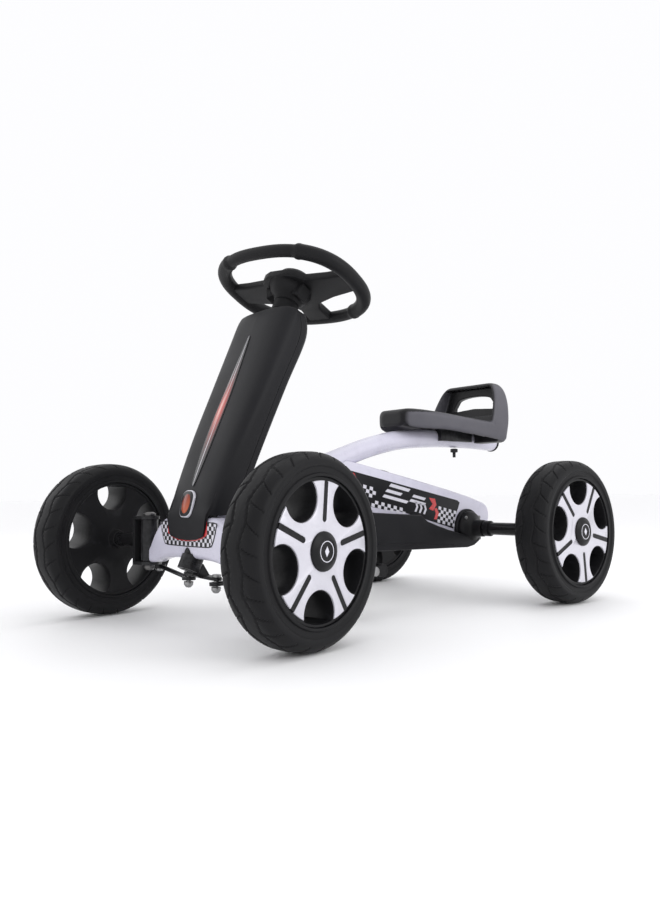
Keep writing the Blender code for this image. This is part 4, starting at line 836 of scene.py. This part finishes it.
def chain_places():
    """Where the rollers are: evenly spaced along the loop round both sprockets."""
    big, small = (CHAIN_PITCH / (2 * math.sin(math.pi / teeth)) for teeth in (18, 14))
    front, rear = Vector((CRANK_Y, CRANK_Z)), Vector((WHEELBASE, WHEEL_RADIUS))
    line = rear - front
    lean, wrap = math.atan2(line.y, line.x), math.acos((big - small) / line.length)
    loop = circle_points(big, 61, tuple(front), lean + wrap, math.tau - 2 * wrap)
    loop += circle_points(small, 61, tuple(rear), lean - wrap, 2 * wrap)
    loop = np.array(loop + loop[:1])
    travelled = np.concatenate([[0], np.cumsum(np.linalg.norm(np.diff(loop, axis=0), axis=1))])
    count = 2 * round(travelled[-1] / CHAIN_PITCH / 2)
    at = np.arange(count) * travelled[-1] / count
    return np.stack([np.interp(at, travelled, loop[:, k]) for k in (0, 1)], 1)


def make_chain():
    places = chain_places()
    pin, barrel = 0.0019, 0.0034
    roller = [(0, -0.0029), (pin, -0.0029), (pin, -0.0011), (barrel, -0.0011), (barrel, 0.0011),
              (pin, 0.0011), (pin, 0.0029), (0, 0.0029)]
    bm = bmesh.new()
    for i, a in enumerate(places):
        b = places[(i + 1) % len(places)]
        middle, angle = (a + b) / 2, math.atan2(b[1] - a[1], b[0] - a[0])
        spread = 0.0026 if i % 2 else 0.0017
        outline = rotated(link_outline(0.0036, 0.0022), angle)
        for face in (-1, 1):
            level = CHAIN_X + face * spread
            plate = prism("plate", outline, level - 0.0004, level + 0.0004, across)
            plate.transform(Matrix.Translation((0, middle[0], middle[1])))
            gather(bm, plate)
        pins = turned("roller", roller, 12)
        pins.transform(Matrix.Translation((CHAIN_X, a[0], a[1])) @ ALONG_X)
        gather(bm, pins)
    mesh = bpy.data.meshes.new("chain")
    bm.to_mesh(mesh)
    bm.free()
    mesh.shade_smooth()
    mesh.set_sharp_from_angle(angle=math.radians(35))
    finish(thing("drive_chain_look", mesh), "dark_steel", "frame", "drive_chain")


# ---------------------------------------------------------------- fairing
# (height, front, half width, setback of the sides, back corner).
FAIRING_SECTIONS = mm(((126, -10.5, 46, 5, 38), (150, -10.8, 55, 6.5, 42), (175, -8, 59, 8, 47),
                       (208, 2, 62, 9.5, 57), (283, 33, 68, 11.5, 87), (364, 70, 72.5, 14, 123),
                       (441, 104.5, 74.5, 16, 160), (480, 122, 73, 15, 161), (494, 132, 69, 13, 162)))
TOP_SLOPE = 0.36
RING_STEPS = 6
FACE_COLUMNS = 2 * RING_STEPS
SEAM = 4


def fairing_section(height):
    """The section's numbers at any height, smoothly between the given ones."""
    table = smooth_path(FAIRING_SECTIONS, 10)
    return [float(np.interp(height, table[:, 0], table[:, k])) for k in range(1, 5)]


def fairing_ring(height):
    """Half a ring at one height, from the front centre line round to the rear one."""
    front, half, setback, corner = fairing_section(height)
    depth = float(np.interp(height, (0.15, 0.2, 0.3, 0.44), (0.012, 0.014, 0.02, 0.027)))
    knots = [(0.0, front), (half * 0.5, front + setback * 0.12), (half * 0.86, front + setback * 0.55),
             (half, front + setback + 0.006), (half * 0.99, corner - 0.01),
             (half * 0.94, corner + depth * 0.2), (half * 0.66, corner + depth * 0.7),
             (half * 0.32, corner + depth * 0.95), (0.0, corner + depth)]
    return smooth_path(knots, RING_STEPS)


def fairing_floor(index, x):
    """The lower edge's height for one column of the shell."""
    if index >= FACE_COLUMNS + 2:
        return 0.1665
    return 0.1305 + 0.0085 * (abs(x) / 0.05) ** 3


def sloped(level, y):
    """The top's height at y, where level is its height at the reference line."""
    return level - TOP_SLOPE * (y - 0.125)


def fairing_columns():
    """Points of the shell: one column per place round it, each from its lower edge to the top hole."""
    heights = np.linspace(0, 1, 46) ** 0.9
    count = len(fairing_ring(0.3))
    columns = []
    hole = Vector((0, column_back(0.4955 - TOP_SLOPE * 0.046)))
    for j in range(count):
        floor = fairing_floor(j, fairing_ring(0.14)[j][0])
        top = sloped(0.49, fairing_ring(0.48)[j][1])
        column = []
        for share in heights:
            z = floor + share * (top - floor)
            x, y = fairing_ring(z)[j]
            flat_share = min(1.0, max(0.0, (0.178 - z) / 0.012)) if j <= FACE_COLUMNS + 2 else 0.0
            column.append((x, y + flat_share * (min(y, -0.0104) - y), z))
        rim = Vector(column[-1][:2])
        angle = math.pi * j / (count - 1)
        end = hole + Vector((0.0125 * math.sin(angle), -0.0125 * math.cos(angle)))
        for k in range(1, 11):
            turn = k / 10 * math.pi / 2
            spot = end + (rim - end) * (math.cos(turn) if k < 10 else 0.0)
            column.append((*spot, top + (sloped(0.496, spot.y) - top) * math.sin(turn)))
        columns.append(column)
    return columns


def make_fairing():
    columns = fairing_columns()
    seam = SEAM * RING_STEPS
    mirror = [[(-x, y, z) for x, y, z in column] for column in columns]
    front = list(reversed(mirror[1:seam + 1])) + columns[:seam + 1]
    rear = columns[seam:] + list(reversed(mirror[seam:-1]))
    for name, part, facing_y in (("fairing_front", front, -1), ("fairing_rear", rear, 1)):
        part = [list(column) for column in part]
        for column in (part[0], part[-1]):
            column[:] = [(x, y + facing_y * 0.0004, z) for x, y, z in column]
        shell = thing(name + "_look", grid_mesh(name, part, angle=60))
        if facing_y * sum(face.normal.y for face in shell.data.polygons) < 0:
            shell.data.flip_normals()
        thicken(shell, WALL)
        if facing_y > 0:
            boolean(shell, "DIFFERENCE", cutter(sweep("tube", spine_path(), SPINE_RADIUS + 0.0015, 40)))
        bevel(shell, 0.0006, 2, 50)
        finish(settle(shell, 42), "shell", "frame", name)
    make_fairing_print()
    make_badge()


def front_point(x, z, lift=0.0):
    """A point on the fairing's front face, lifted forwards."""
    ring = fairing_ring(z)[:FACE_COLUMNS + 1]
    return (x, float(np.interp(abs(x), ring[:, 0], ring[:, 1])) - lift, z)


def paint_points(mesh, colours):
    """Give a mesh a colour at each point, which its material reads."""
    layer = mesh.color_attributes.new("paint", "FLOAT_COLOR", "POINT")
    rows = np.array([(*colour, 1.0) for colour in colours], np.float32)
    layer.data.foreach_set("color", rows.ravel())


def bell(value, width, power=2):
    return math.exp(-(value / width) ** power)


def print_colour(u, t):
    """Colour of the leaf print, with a painted highlight on its red middle. u runs across it from -1 to 1 and
    t up it from 0 to 1.
    """
    line = bell(u - 0.1 * math.sin(3 * t), 0.05 + 0.12 * abs(t - 0.5))
    layers = ((bell(t - 0.5, 0.17) * bell(u + 0.05, 0.85, 4), (0.52, 0.045, 0.035)),
              # The second layer, a pale pink patch on the red middle, is a painted highlight.
              (0.75 * bell(t - 0.5, 0.1) * bell(u + 0.22 - 0.5 * (t - 0.5), 0.26), (0.95, 0.62, 0.55)),
              (line * (0.25 + 0.75 * min(1.0, abs(t - 0.5) / 0.2)), (0.78, 0.77, 0.82)),
              (bell(u + 0.72, 0.1) * max(0.0, 1 - abs(t - 0.72) / 0.16), (0.45, 0.5, 0.52)))
    colour = np.array((0.01, 0.01, 0.014))
    for share, over in layers:
        colour = colour * (1 - share) + np.array(over) * share
    return colour


def make_fairing_print():
    """A glossy leaf-shaped print down the middle of the front shell, with a painted highlight on its red
    middle.
    """
    low, high, rows, columns = 0.2095, 0.448, 120, 33
    for layer, lift, spread in (("surround", 0.0006, 1.16), ("middle", 0.001, 1.0)):
        points, colours = [], []
        for i in range(rows):
            t = i / (rows - 1)
            width = spread * (0.0018 + 0.0082 * math.sin(math.pi * t ** 0.8) ** 0.8)
            z = low + t * (high - low)
            shares = [-1 + 2 * j / (columns - 1) for j in range(columns)]
            points.append([front_point(u * width, z, lift + 0.0001 * (1 - u * u)) for u in shares])
            colours += [print_colour(u, t) if layer == "middle" else (0.008, 0.008, 0.01) for u in shares]
        mesh = sheet_mesh("fairing_print_" + layer, points)
        paint_points(mesh, colours)
        mesh.shade_smooth()
        piece = thing("fairing_print_" + layer, mesh)
        thicken(piece, 0.0002)
        apply_modifiers(piece)
        finish(piece, "gloss_print", "frame")


BADGE_Z, BADGE_HALF_WIDTH, BADGE_HALF_HEIGHT = 0.183, 0.0165, 0.0205


def badge_plate(name, levels, place, material, *nodes):
    """A rounded plate from (width share, height share, level) steps."""
    rings = []
    for wide, tall, level in levels:
        half = BADGE_HALF_WIDTH * wide
        outline = rounded_box(half, BADGE_HALF_HEIGHT * tall, half * 0.75, 8)
        rings.append([(a, -level, b) for a, b in outline])
    piece = thing(name, grid_mesh(name, rings, wrap_columns=True, caps=True, angle=50), place)
    return finish(piece, material, "frame", *nodes)


def badge_gem():
    """A glossy dome with a painted highlight, as a mesh."""
    steps = 12
    rings, colours = [], []
    for k in range(steps + 1):
        turn = k / steps * math.pi / 2
        reach, level = math.cos(turn), 0.0031 + 0.0024 * math.sin(turn)
        ring = circle_points(1.0, 40)
        rings.append([(a * 0.0102 * reach, -level, b * 0.0148 * reach) for a, b in ring])
        for a, b in ring:
            # The colour lightens towards one side as a painted highlight on the red-brown gem.
            painted_highlight = max(0.0, min(1.0, 0.55 + 0.3 * a * reach - 0.5 * b * reach))
            colours.append((0.16 + 0.34 * painted_highlight, 0.012 + 0.1 * painted_highlight, 0.01 + 0.04 * painted_highlight))
    mesh = sheet_mesh("badge_gem", rings, wrap_columns=True, caps=True)
    paint_points(mesh, colours)
    bm = bmesh.new()
    bm.from_mesh(mesh)
    bmesh.ops.remove_doubles(bm, verts=bm.verts, dist=MERGE)
    bmesh.ops.recalc_face_normals(bm, faces=bm.faces)
    bm.to_mesh(mesh)
    bm.free()
    mesh.shade_smooth()
    return mesh


def make_badge():
    low, high = (Vector(front_point(0, BADGE_Z + side * BADGE_HALF_HEIGHT)) for side in (-1, 1))
    lean = math.atan2(high.y - low.y, high.z - low.z)
    place = TO_ROW @ Matrix.Translation((low + high) / 2 - Vector((0, 0.0018, 0)))
    place = place @ Matrix.Rotation(-lean, 4, "X")
    body = ((1.0, 1.0, -0.0012), (1.0, 1.0, 0.0014), (0.96, 0.97, 0.0021), (0.89, 0.91, 0.0023))
    badge_plate("badge_look", body, place, "silver", "badge")
    field = ((0.88, 0.92, 0.0018), (0.88, 0.92, 0.0028), (0.84, 0.89, 0.0031))
    badge_plate("badge_field", field, place, "ink_black")
    finish(thing("badge_gem", badge_gem(), place), "gloss_print", "frame")


# ----------------------------------------------------------------- prints


BEAM_SLOPE = -0.205
BEAM_FIELD = mm(((262, 244), (306, 235.5), (380, 221.5), (487, 201), (597, 180), (604.5, 175.5), (599, 164),
                 (590.5, 150), (586, 135), (583, 125), (564, 130), (525, 139.5), (478, 151.5), (431, 162),
                 (386, 166.5), (345, 174), (262, 184)))
BEAM_FLASHES = mm((((511, 165), (523, 161), (533, 172), (529, 184), (512, 186), (522, 174)),
                   ((525, 145), (533, 144), (540, 156), (534, 166), (526, 165), (531, 156)),
                   ((306, 233), (315, 231), (329, 208), (317, 212))))
BAND_LOWER = mm(((0, 120.5), (30, 120.7), (55, 121), (64, 122.5)))
BAND_UPPER = mm(((69.5, 131), (74, 142), (78, 156), (68, 157.5), (40, 157.5), (0, 157.5)))


def film(name, outlines, level, thickness, place, material):
    """Thin printed shapes as one piece."""
    bm = bmesh.new()
    for outline in outlines:
        gather(bm, prism("shape", outline, level, level + thickness, place))
    mesh = bpy.data.meshes.new(name)
    bm.to_mesh(mesh)
    bm.free()
    return finish(thing(name, mesh), material, "frame")


def slanted(y, z, length, height, lean, slope=BEAM_SLOPE):
    """A stripe that follows the beam's slope, with slanted ends."""
    far = z + slope * length
    return [(y, z), (y + length, far), (y + length + lean, far + height), (y + lean, z + height)]


def checks(y0, z0, columns, rows, wide, tall):
    """Every other cell of a grid that follows the beam's slope."""
    return [slanted(y0 + i * wide + j * 0.001, z0 + j * tall + i * wide * BEAM_SLOPE, wide, tall, 0.001)
            for i in range(columns) for j in range(i % 2, rows, 2)]


def make_beam_print():
    """A dark field with checks, stripes and red flashes on each side of the main beam."""
    white = checks(0.535, 0.1385, 7, 5, 0.0076, 0.0062) + checks(0.318, 0.196, 6, 3, 0.008, 0.0062)
    white += checks(0.356, 0.1725, 11, 2, 0.008, 0.006)
    white += [slanted(0.402, 0.208, 0.052, 0.005, 0.006), slanted(0.392, 0.1985, 0.04, 0.0046, 0.006),
              slanted(0.384, 0.189, 0.064, 0.0046, 0.006), slanted(0.464, 0.188, 0.034, 0.0044, 0.005),
              slanted(0.456, 0.18, 0.042, 0.0044, 0.005)]
    for k in range(3):
        y, z = 0.47 + 0.012 * k, 0.172 - 0.0026 * k
        white.append([(y, z - 0.011), (y + 0.005, z - 0.012), (y + 0.0105, z - 0.003),
                      (y + 0.007, z + 0.0065), (y + 0.002, z + 0.0075), (y + 0.0055, z - 0.002)])
    layers = (("field", [BEAM_FIELD], 0.00005, "ink_black"), ("checks", white, 0.0003, "ink_white"),
              ("flash", BEAM_FLASHES, 0.0004, "ink_red"))
    for name, side in SIDES:
        for part, shapes, lift, material in layers:
            start = side * BEAM_HALF_WIDTH + side * lift
            film("beam_print_%s_%s" % (part, name), shapes, start, side * 0.00035, across, material)


def band_outline(shrink):
    """The crossbeam band's outline, moved inwards by about shrink."""
    low = [(x - shrink * (x > 0.06), z + shrink) for x, z in BAND_LOWER]
    high = [(x - shrink * (x > 0.0685) * 1.3, z - shrink * (x > 0.076 or x < 0.0685)) for x, z in BAND_UPPER]
    ring = low + high[:-1]
    return ring + [(-x, z) for x, z in reversed(ring) if x > 0]


def make_crossbeam_print():
    """An outlined band of checks across the crossbeam's front face, and a red tongue over it."""
    face = CROSSBEAM_Y - CROSSBEAM_DEPTH / 2
    edge = np.array([BAND_LOWER[-1], *BAND_UPPER[:3]])
    cell, out = 0.0058, []
    for j in range(6):
        low, high = 0.1224 + j * cell, 0.1224 + (j + 1) * cell
        reach = float(np.interp(low, edge[:, 1], edge[:, 0])) - 0.0022
        for i in range(-15, 15):
            left, right = max(-reach, i * cell), min(reach, (i + 1) * cell)
            if (i + j) % 2 == 0 and right - left > 0.0008:
                out.append([(left, low), (right, low), (right, high), (left, high)])
    half = 0.0535
    tongue = [(x, 0.129 + 0.0085 * (abs(x) / 0.05) ** 3) for x in np.linspace(-half, half, 40)]
    tongue = [(-half, 0.158)] + tongue + [(half, 0.158)]
    for name, shapes, lift, material in (("band", [band_outline(0.0)], 0.00005, "ink_black"),
                                         ("ground", [band_outline(0.0016)], 0.0003, "ink_white"),
                                         ("checks", out, 0.00055, "ink_black"),
                                         ("tongue", [tongue], 0.0008, "ink_red")):
        film("crossbeam_" + name, shapes, face - lift, -0.0003, facing, material)


# --------------------------------------------------------------- steering


WHEEL_BAR = mm(((-122, -22.5), (-85, -21.5), (-44, -23.5), (-34, -36), (-20, -41.5), (20, -41.5), (34, -36),
                (44, -23.5), (85, -21.5), (122, -22.5), (122, 20), (70, 30), (30, 43), (21, 56), (24, 93),
                (-24, 93), (-21, 56), (-30, 43), (-70, 30), (-122, 20)))
HUB_LEVELS = mm(((-5, 34, 42, 38), (-12, 33.5, 40, 35), (-19, 31, 35, 31), (-24.5, 27, 29, 27),
                 (-28, 23.5, 24.5, 24), (-33, 21.5, 21.5, 21.5), (-33.8, 20, 20, 20)))
HORN_PAD = mm(((0, 6.4), (30, 6.4), (30.8, 10), (27.2, 19.5), (25.5, 20), (24.5, 21.2), (17, 25.8),
               (0, 27.9)))


def steering_frame():
    """The steering wheel's frame at rest, with Z up along the column."""
    place = Matrix.Translation(JOINTS["steering_turn"]["pos_m"]) @ Matrix.Rotation(-COLUMN_TILT, 4, "X")
    return place @ Matrix.Rotation(STEERING_REST, 4, "Z")


def wheel_ring():
    """The steering wheel's rim, thicker at the two grips and with a bead at each of their ends."""
    count = 168
    path, radii = [], []
    for i in range(count):
        angle = math.tau * i / count
        cosine, sine = math.cos(angle), math.sin(angle)
        x = math.copysign(abs(cosine) ** (2 / 2.5), cosine) * 0.126
        y = math.copysign(abs(sine) ** (2 / 2.5), sine) * 0.093
        path.append((x, y, 0))
        on_grip = 1 / (1 + math.exp(-(abs(x) - 0.071) / 0.0007))
        radii.append(0.0102 + 0.0018 * on_grip + 0.0011 * bell(abs(x) - 0.0745, 0.0026))
    return sweep("wheel", path, radii, 28, True, Vector((0, 0, 1)))


def make_steering_wheel():
    place = steering_frame()
    wheel = thing("steering_wheel_look", wheel_ring(), place)
    bar = thing("bar", prism("bar", WHEEL_BAR, -0.0078, 0.0062, flat), place)
    bevel(bar, 0.0032, 4, 30)
    apply_modifiers(bar)
    turns = [math.tau * k / 56 for k in range(56)]
    hub = [[(wide * math.cos(a), (behind if math.sin(a) > 0 else ahead) * math.sin(a), level) for a in turns]
           for level, wide, ahead, behind in HUB_LEVELS]
    hub = thing("hub", grid_mesh("hub", hub, wrap_columns=True, caps=True), place)
    boolean(wheel, "UNION", bar, hub)
    boolean(wheel, "DIFFERENCE", cutter(cylinder("bore", 0.0098, -0.1, -0.0105, 40), place))
    finish(settle(wheel, 38), "grip", "steering", "steering_wheel")
    for name, side in SIDES:
        block = rounded_box(0.0085, 0.012, 0.003, 5)
        at = place @ Matrix.Translation((side * 0.036, -0.006, 0)) @ Matrix.Rotation(side * 0.35, 4, "Y")
        lug = thing("hub_lug_" + name, prism("lug", block, -0.03, -0.0075, flat), at)
        bevel(lug, 0.0016, 3)
        finish(settle(lug), "grip", "steering")
    profile = [(0.0097, -0.052), (0.02, -0.052), (0.0212, -0.048), (0.0205, -0.034), (0.0097, -0.034)]
    collar = thing("column_collar", lathed("column_collar", profile, 0.0012, 56, True), place)
    finish(collar, "grip", "steering")
    pad = thing("horn_pad_look", lathed("pad", HORN_PAD, 0.0014, 72), place)
    finish(pad, "shell", "steering", "horn_pad")
    profile = [(0.0292, 0.0098), (0.0316, 0.0098), (0.0316, 0.012), (0.0292, 0.012)]
    ring = thing("horn_pad_ring", lathed("pad_ring", profile, 0.0006, 72, True), place)
    finish(ring, "silver", "steering")


def make_column():
    """The steering column and the fixed head tube round it."""
    low, high = (0.085 - HUB_HEIGHT) / math.cos(COLUMN_TILT), -0.0115
    profile = [(0, low), (0.0087, low), (0.0095, low + 0.001), (0.0095, high), (0, high)]
    column = thing("steering_column_look", turned("column", profile, 40), steering_frame())
    finish(column, "black_paint", "steering", "steering_column")
    length = (HEAD_TUBE_TOP - HEAD_TUBE_FOOT) / math.cos(COLUMN_TILT)
    profile = [(0.0121, 0), (0.0141, 0), (0.0141, length), (0.0121, length)]
    tube = thing("head_tube_look", lathed("tube", profile, 0.0004, 48, True), on_column(HEAD_TUBE_FOOT))
    finish(tube, "black_paint", "frame", "head_tube")


# ------------------------------------------------------------------- seat
# (back, bottom, top, half width).
SEAT_SECTIONS = mm(((432.5, 323, 344, 24), (437, 318, 349, 34), (446, 313, 352, 41), (475, 310, 350, 56),
                    (510, 309, 346, 70), (560, 304, 341, 80), (615, 299, 337, 83), (655, 295, 338, 83),
                    (678, 294, 346, 83)))
# (height, front, rear, half width).
BACKREST_SECTIONS = mm(((300, 655, 684, 82), (330, 636, 691, 83), (350, 641, 694, 82), (370, 648, 697, 79),
                        (388, 655, 699, 74), (402, 660, 699, 68), (412, 664, 697, 60),
                        (416.5, 669, 692, 53)))


def painted_reflection_from(point):
    """How far from the middle the seat's painted reflection on its outer sides starts, at a point."""
    if point.z <= 0.345:
        return 0.03
    table = np.array(BACKREST_SECTIONS)
    return 0.875 * float(np.interp(point.z, table[:, 0], table[:, 3]))


def seat_pan():
    """The pan's body and the room under it, both as meshes."""
    rings, room = [], []
    for back, low, high, half in smooth_path(SEAT_SECTIONS, 6):
        ring = []
        for a, b in rounded_box(half, (high - low) / 2, min(0.011, half / 3), 6):
            dish = 0.005 * (1 - min(1.0, abs(a) / half) ** 2) * min(1.0, max(0.0, (back - 0.47) / 0.08))
            ring.append((a, back, (low + high) / 2 + b - (dish if b > 0 else 0)))
        rings.append(ring)
    for back, low, high, half in smooth_path(SEAT_SECTIONS[1:-1], 5):
        top = high - 0.0085
        outline = rounded_box(half - 0.0045, (top - low + 0.04) / 2, 0.008, 4)
        room.append([(a, back, (top + low - 0.04) / 2 + b) for a, b in outline])
    return [grid_mesh("pan", skin, wrap_columns=True, caps=True) for skin in (rings, room)]


def seat_rest():
    """The backrest's body and the pocket in its front, both as meshes."""
    rest, pocket = [], []
    for height, front, rear, half in smooth_path(BACKREST_SECTIONS, 6):
        outline = rounded_box(half, (rear - front) / 2, 0.0075, 6)
        rest.append([(a, (front + rear) / 2 + b, height) for a, b in outline])
        if 0.346 < height < 0.4095:
            outline = rounded_box(half - 0.0065, 0.03, 0.004, 6)
            pocket.append([(a, rear - 0.0145 - 0.03 + b, height) for a, b in outline])
    return [grid_mesh("rest", skin, wrap_columns=True, caps=True) for skin in (rest, pocket)]


def handle_outline():
    """The handle opening in the backrest, with an arched top."""
    turns = np.linspace(0.35, math.pi - 0.35, 15)
    slot = [(-0.052, 0.367), (-0.048, 0.3655), (0.0, 0.369), (0.048, 0.3655), (0.052, 0.367),
            (0.0505, 0.374)]
    return slot + [(0.0445 * math.cos(a), 0.384 + 0.01 * math.sin(a)) for a in turns] + [(-0.0505, 0.374)]


def make_seat():
    """The pan and backrest as one moulding, dark in front and with a painted reflection on its outer sides.
    """
    (pan, room), (rest, pocket) = seat_pan(), seat_rest()
    seat = thing("seat_shell_look", pan)
    rest = thing("rest", rest)
    handle = prism("handle", handle_outline(), 0.6, 0.76, facing)
    tube = sweep("tube", spine_path(), SPINE_RADIUS + 0.002, 40)
    boolean(seat, "UNION", rest)
    boolean(seat, "DIFFERENCE", *[cutter(mesh) for mesh in (pocket, handle, room, tube)])
    apply_modifiers(seat)
    step = seat.modifiers.new("remesh", "REMESH")
    step.mode = "VOXEL"
    step.voxel_size = 0.0014
    step = seat.modifiers.new("soften", "SMOOTH")
    step.factor = 0.6
    step.iterations = 10
    apply_modifiers(seat)
    seat.data.shade_smooth()
    # Each point gets a painted reflection: pale where an outer side faces sideways, dark elsewhere.
    colours = []
    for vertex, normal in zip(seat.data.vertices, seat.data.vertex_normals):
        light = 0.0
        if abs(vertex.co.x) > painted_reflection_from(vertex.co):
            light = min(1.0, max(0.0, (abs(normal.vector.x) - 0.45) / 0.35))
        colours.append([0.12 + 0.88 * light] * 3)
    paint_points(seat.data, colours)
    finish(seat, "seat", "seat", "seat_shell")


# ---------------------------------------------------------- small CAD parts
# SIDE stands for both sides.
REFINED = (("kingpin_housing_SIDE", "black_paint", 0.0006), ("knuckle_SIDE", "black_paint", 0.0006),
           ("tie_rod_SIDE", "black_paint", 0.0004), ("pitman_arm", "black_paint", 0.0006),
           ("pitman_bolt_SIDE", "zinc", 0.0003), ("tie_rod_bolt_SIDE", "zinc", 0.0003),
           ("kingpin_bolt_SIDE", "dark_steel", 0.0003), ("column_bush_upper", "nylon", 0.0003),
           ("column_bush_lower", "nylon", 0.0003), ("crank_bush_SIDE", "nylon", 0.0003),
           ("crankshaft", "zinc", 0.0008), ("chain_ring", "dark_steel", 0.0),
           ("rear_sprocket", "dark_steel", 0.0), ("pedal_SIDE", "grip", 0.0012),
           ("seat_saddle", "black_paint", 0.001), ("seat_clamp_bolt", "black_paint", 0.0003))


def make_small_parts():
    """The parts whose CAD shapes are only refined."""
    for name, material, width in REFINED:
        for node in dict.fromkeys(name.replace("SIDE", side) for side, _ in SIDES):
            refine(node, material, width)


# ------------------------------------------------------------------ studio


def make_stage():
    mesh = bpy.data.meshes.new("floor")
    mesh.from_pydata([(-30, -30, 0), (30, -30, 0), (30, 30, 0), (-30, 30, 0)], [], [(0, 1, 2, 3)])
    floor = bpy.data.objects.new("floor", mesh)
    bpy.context.scene.collection.objects.link(floor)
    floor.location.z = -0.0006
    pale = bpy.data.materials.new("floor")
    pale.use_nodes = True
    shader = pale.node_tree.nodes["Principled BSDF"]
    shader.inputs["Base Color"].default_value = (0.975, 0.975, 0.98, 1)
    shader.inputs["Roughness"].default_value = 0.6
    mesh.materials.append(pale)


def area_light(name, location, target, size, power, colour=(1, 1, 1)):
    data = bpy.data.lights.new(name, "AREA")
    data.shape = "RECTANGLE"
    data.size, data.size_y = size
    data.energy = power
    data.color = colour
    light = bpy.data.objects.new(name, data)
    bpy.context.scene.collection.objects.link(light)
    light.location = location
    light.rotation_euler = (Vector(target) - Vector(location)).to_track_quat("-Z", "Y").to_euler()


def make_lights():
    world = bpy.data.worlds.new("studio")
    world.use_nodes = True
    background = world.node_tree.nodes["Background"]
    background.inputs["Color"].default_value = (0.985, 0.985, 1.0, 1)
    background.inputs["Strength"].default_value = 1.0
    bpy.context.scene.world = world
    bpy.context.scene.view_settings.view_transform = "Standard"
    area_light("key", (2.2, 0.5, 1.2), (0, 0.1, 0.25), (1.6, 1.2), 15)
    area_light("side", (-2.2, -1.2, 1.3), (0, -0.1, 0.25), (1.2, 1.8), 6)
    area_light("top", (0.2, 0.6, 2.6), (0, 0.1, 0.2), (2.2, 1.4), 7)


def make_camera():
    azimuth, elevation, roll = 0.8418, -0.0633, -0.0106
    level = math.cos(elevation)
    back = Vector((math.sin(azimuth) * level, -math.cos(azimuth) * level, math.sin(elevation)))
    right = (-back).cross(Vector((0, 0, 1))).normalized()
    up = right.cross(-back)
    turned_right = math.cos(roll) * right + math.sin(roll) * up
    turned_up = -math.sin(roll) * right + math.cos(roll) * up
    data = bpy.data.cameras.new("camera")
    data.sensor_fit = "VERTICAL"
    data.sensor_height = 36.0
    data.lens = data.sensor_height * 766.0 / 900.0
    data.shift_x = 0.0072
    data.shift_y = -0.006
    data.clip_start = 0.01
    camera = bpy.data.objects.new("camera", data)
    bpy.context.scene.collection.objects.link(camera)
    matrix = Matrix((turned_right, turned_up, back)).transposed().to_4x4()
    matrix.translation = TO_ROW @ Vector((0.9771, -0.61, 0.1968))
    camera.matrix_world = matrix
    bpy.context.scene.camera = camera


make_camera()
make_stage()
make_lights()
make_wheels()
make_spine()
make_beam()
make_crossbeam()
make_cover()
make_bearings()
make_chain()
make_fairing()
make_beam_print()
make_crossbeam_print()
make_steering_wheel()
make_column()
make_seat()
make_small_parts()
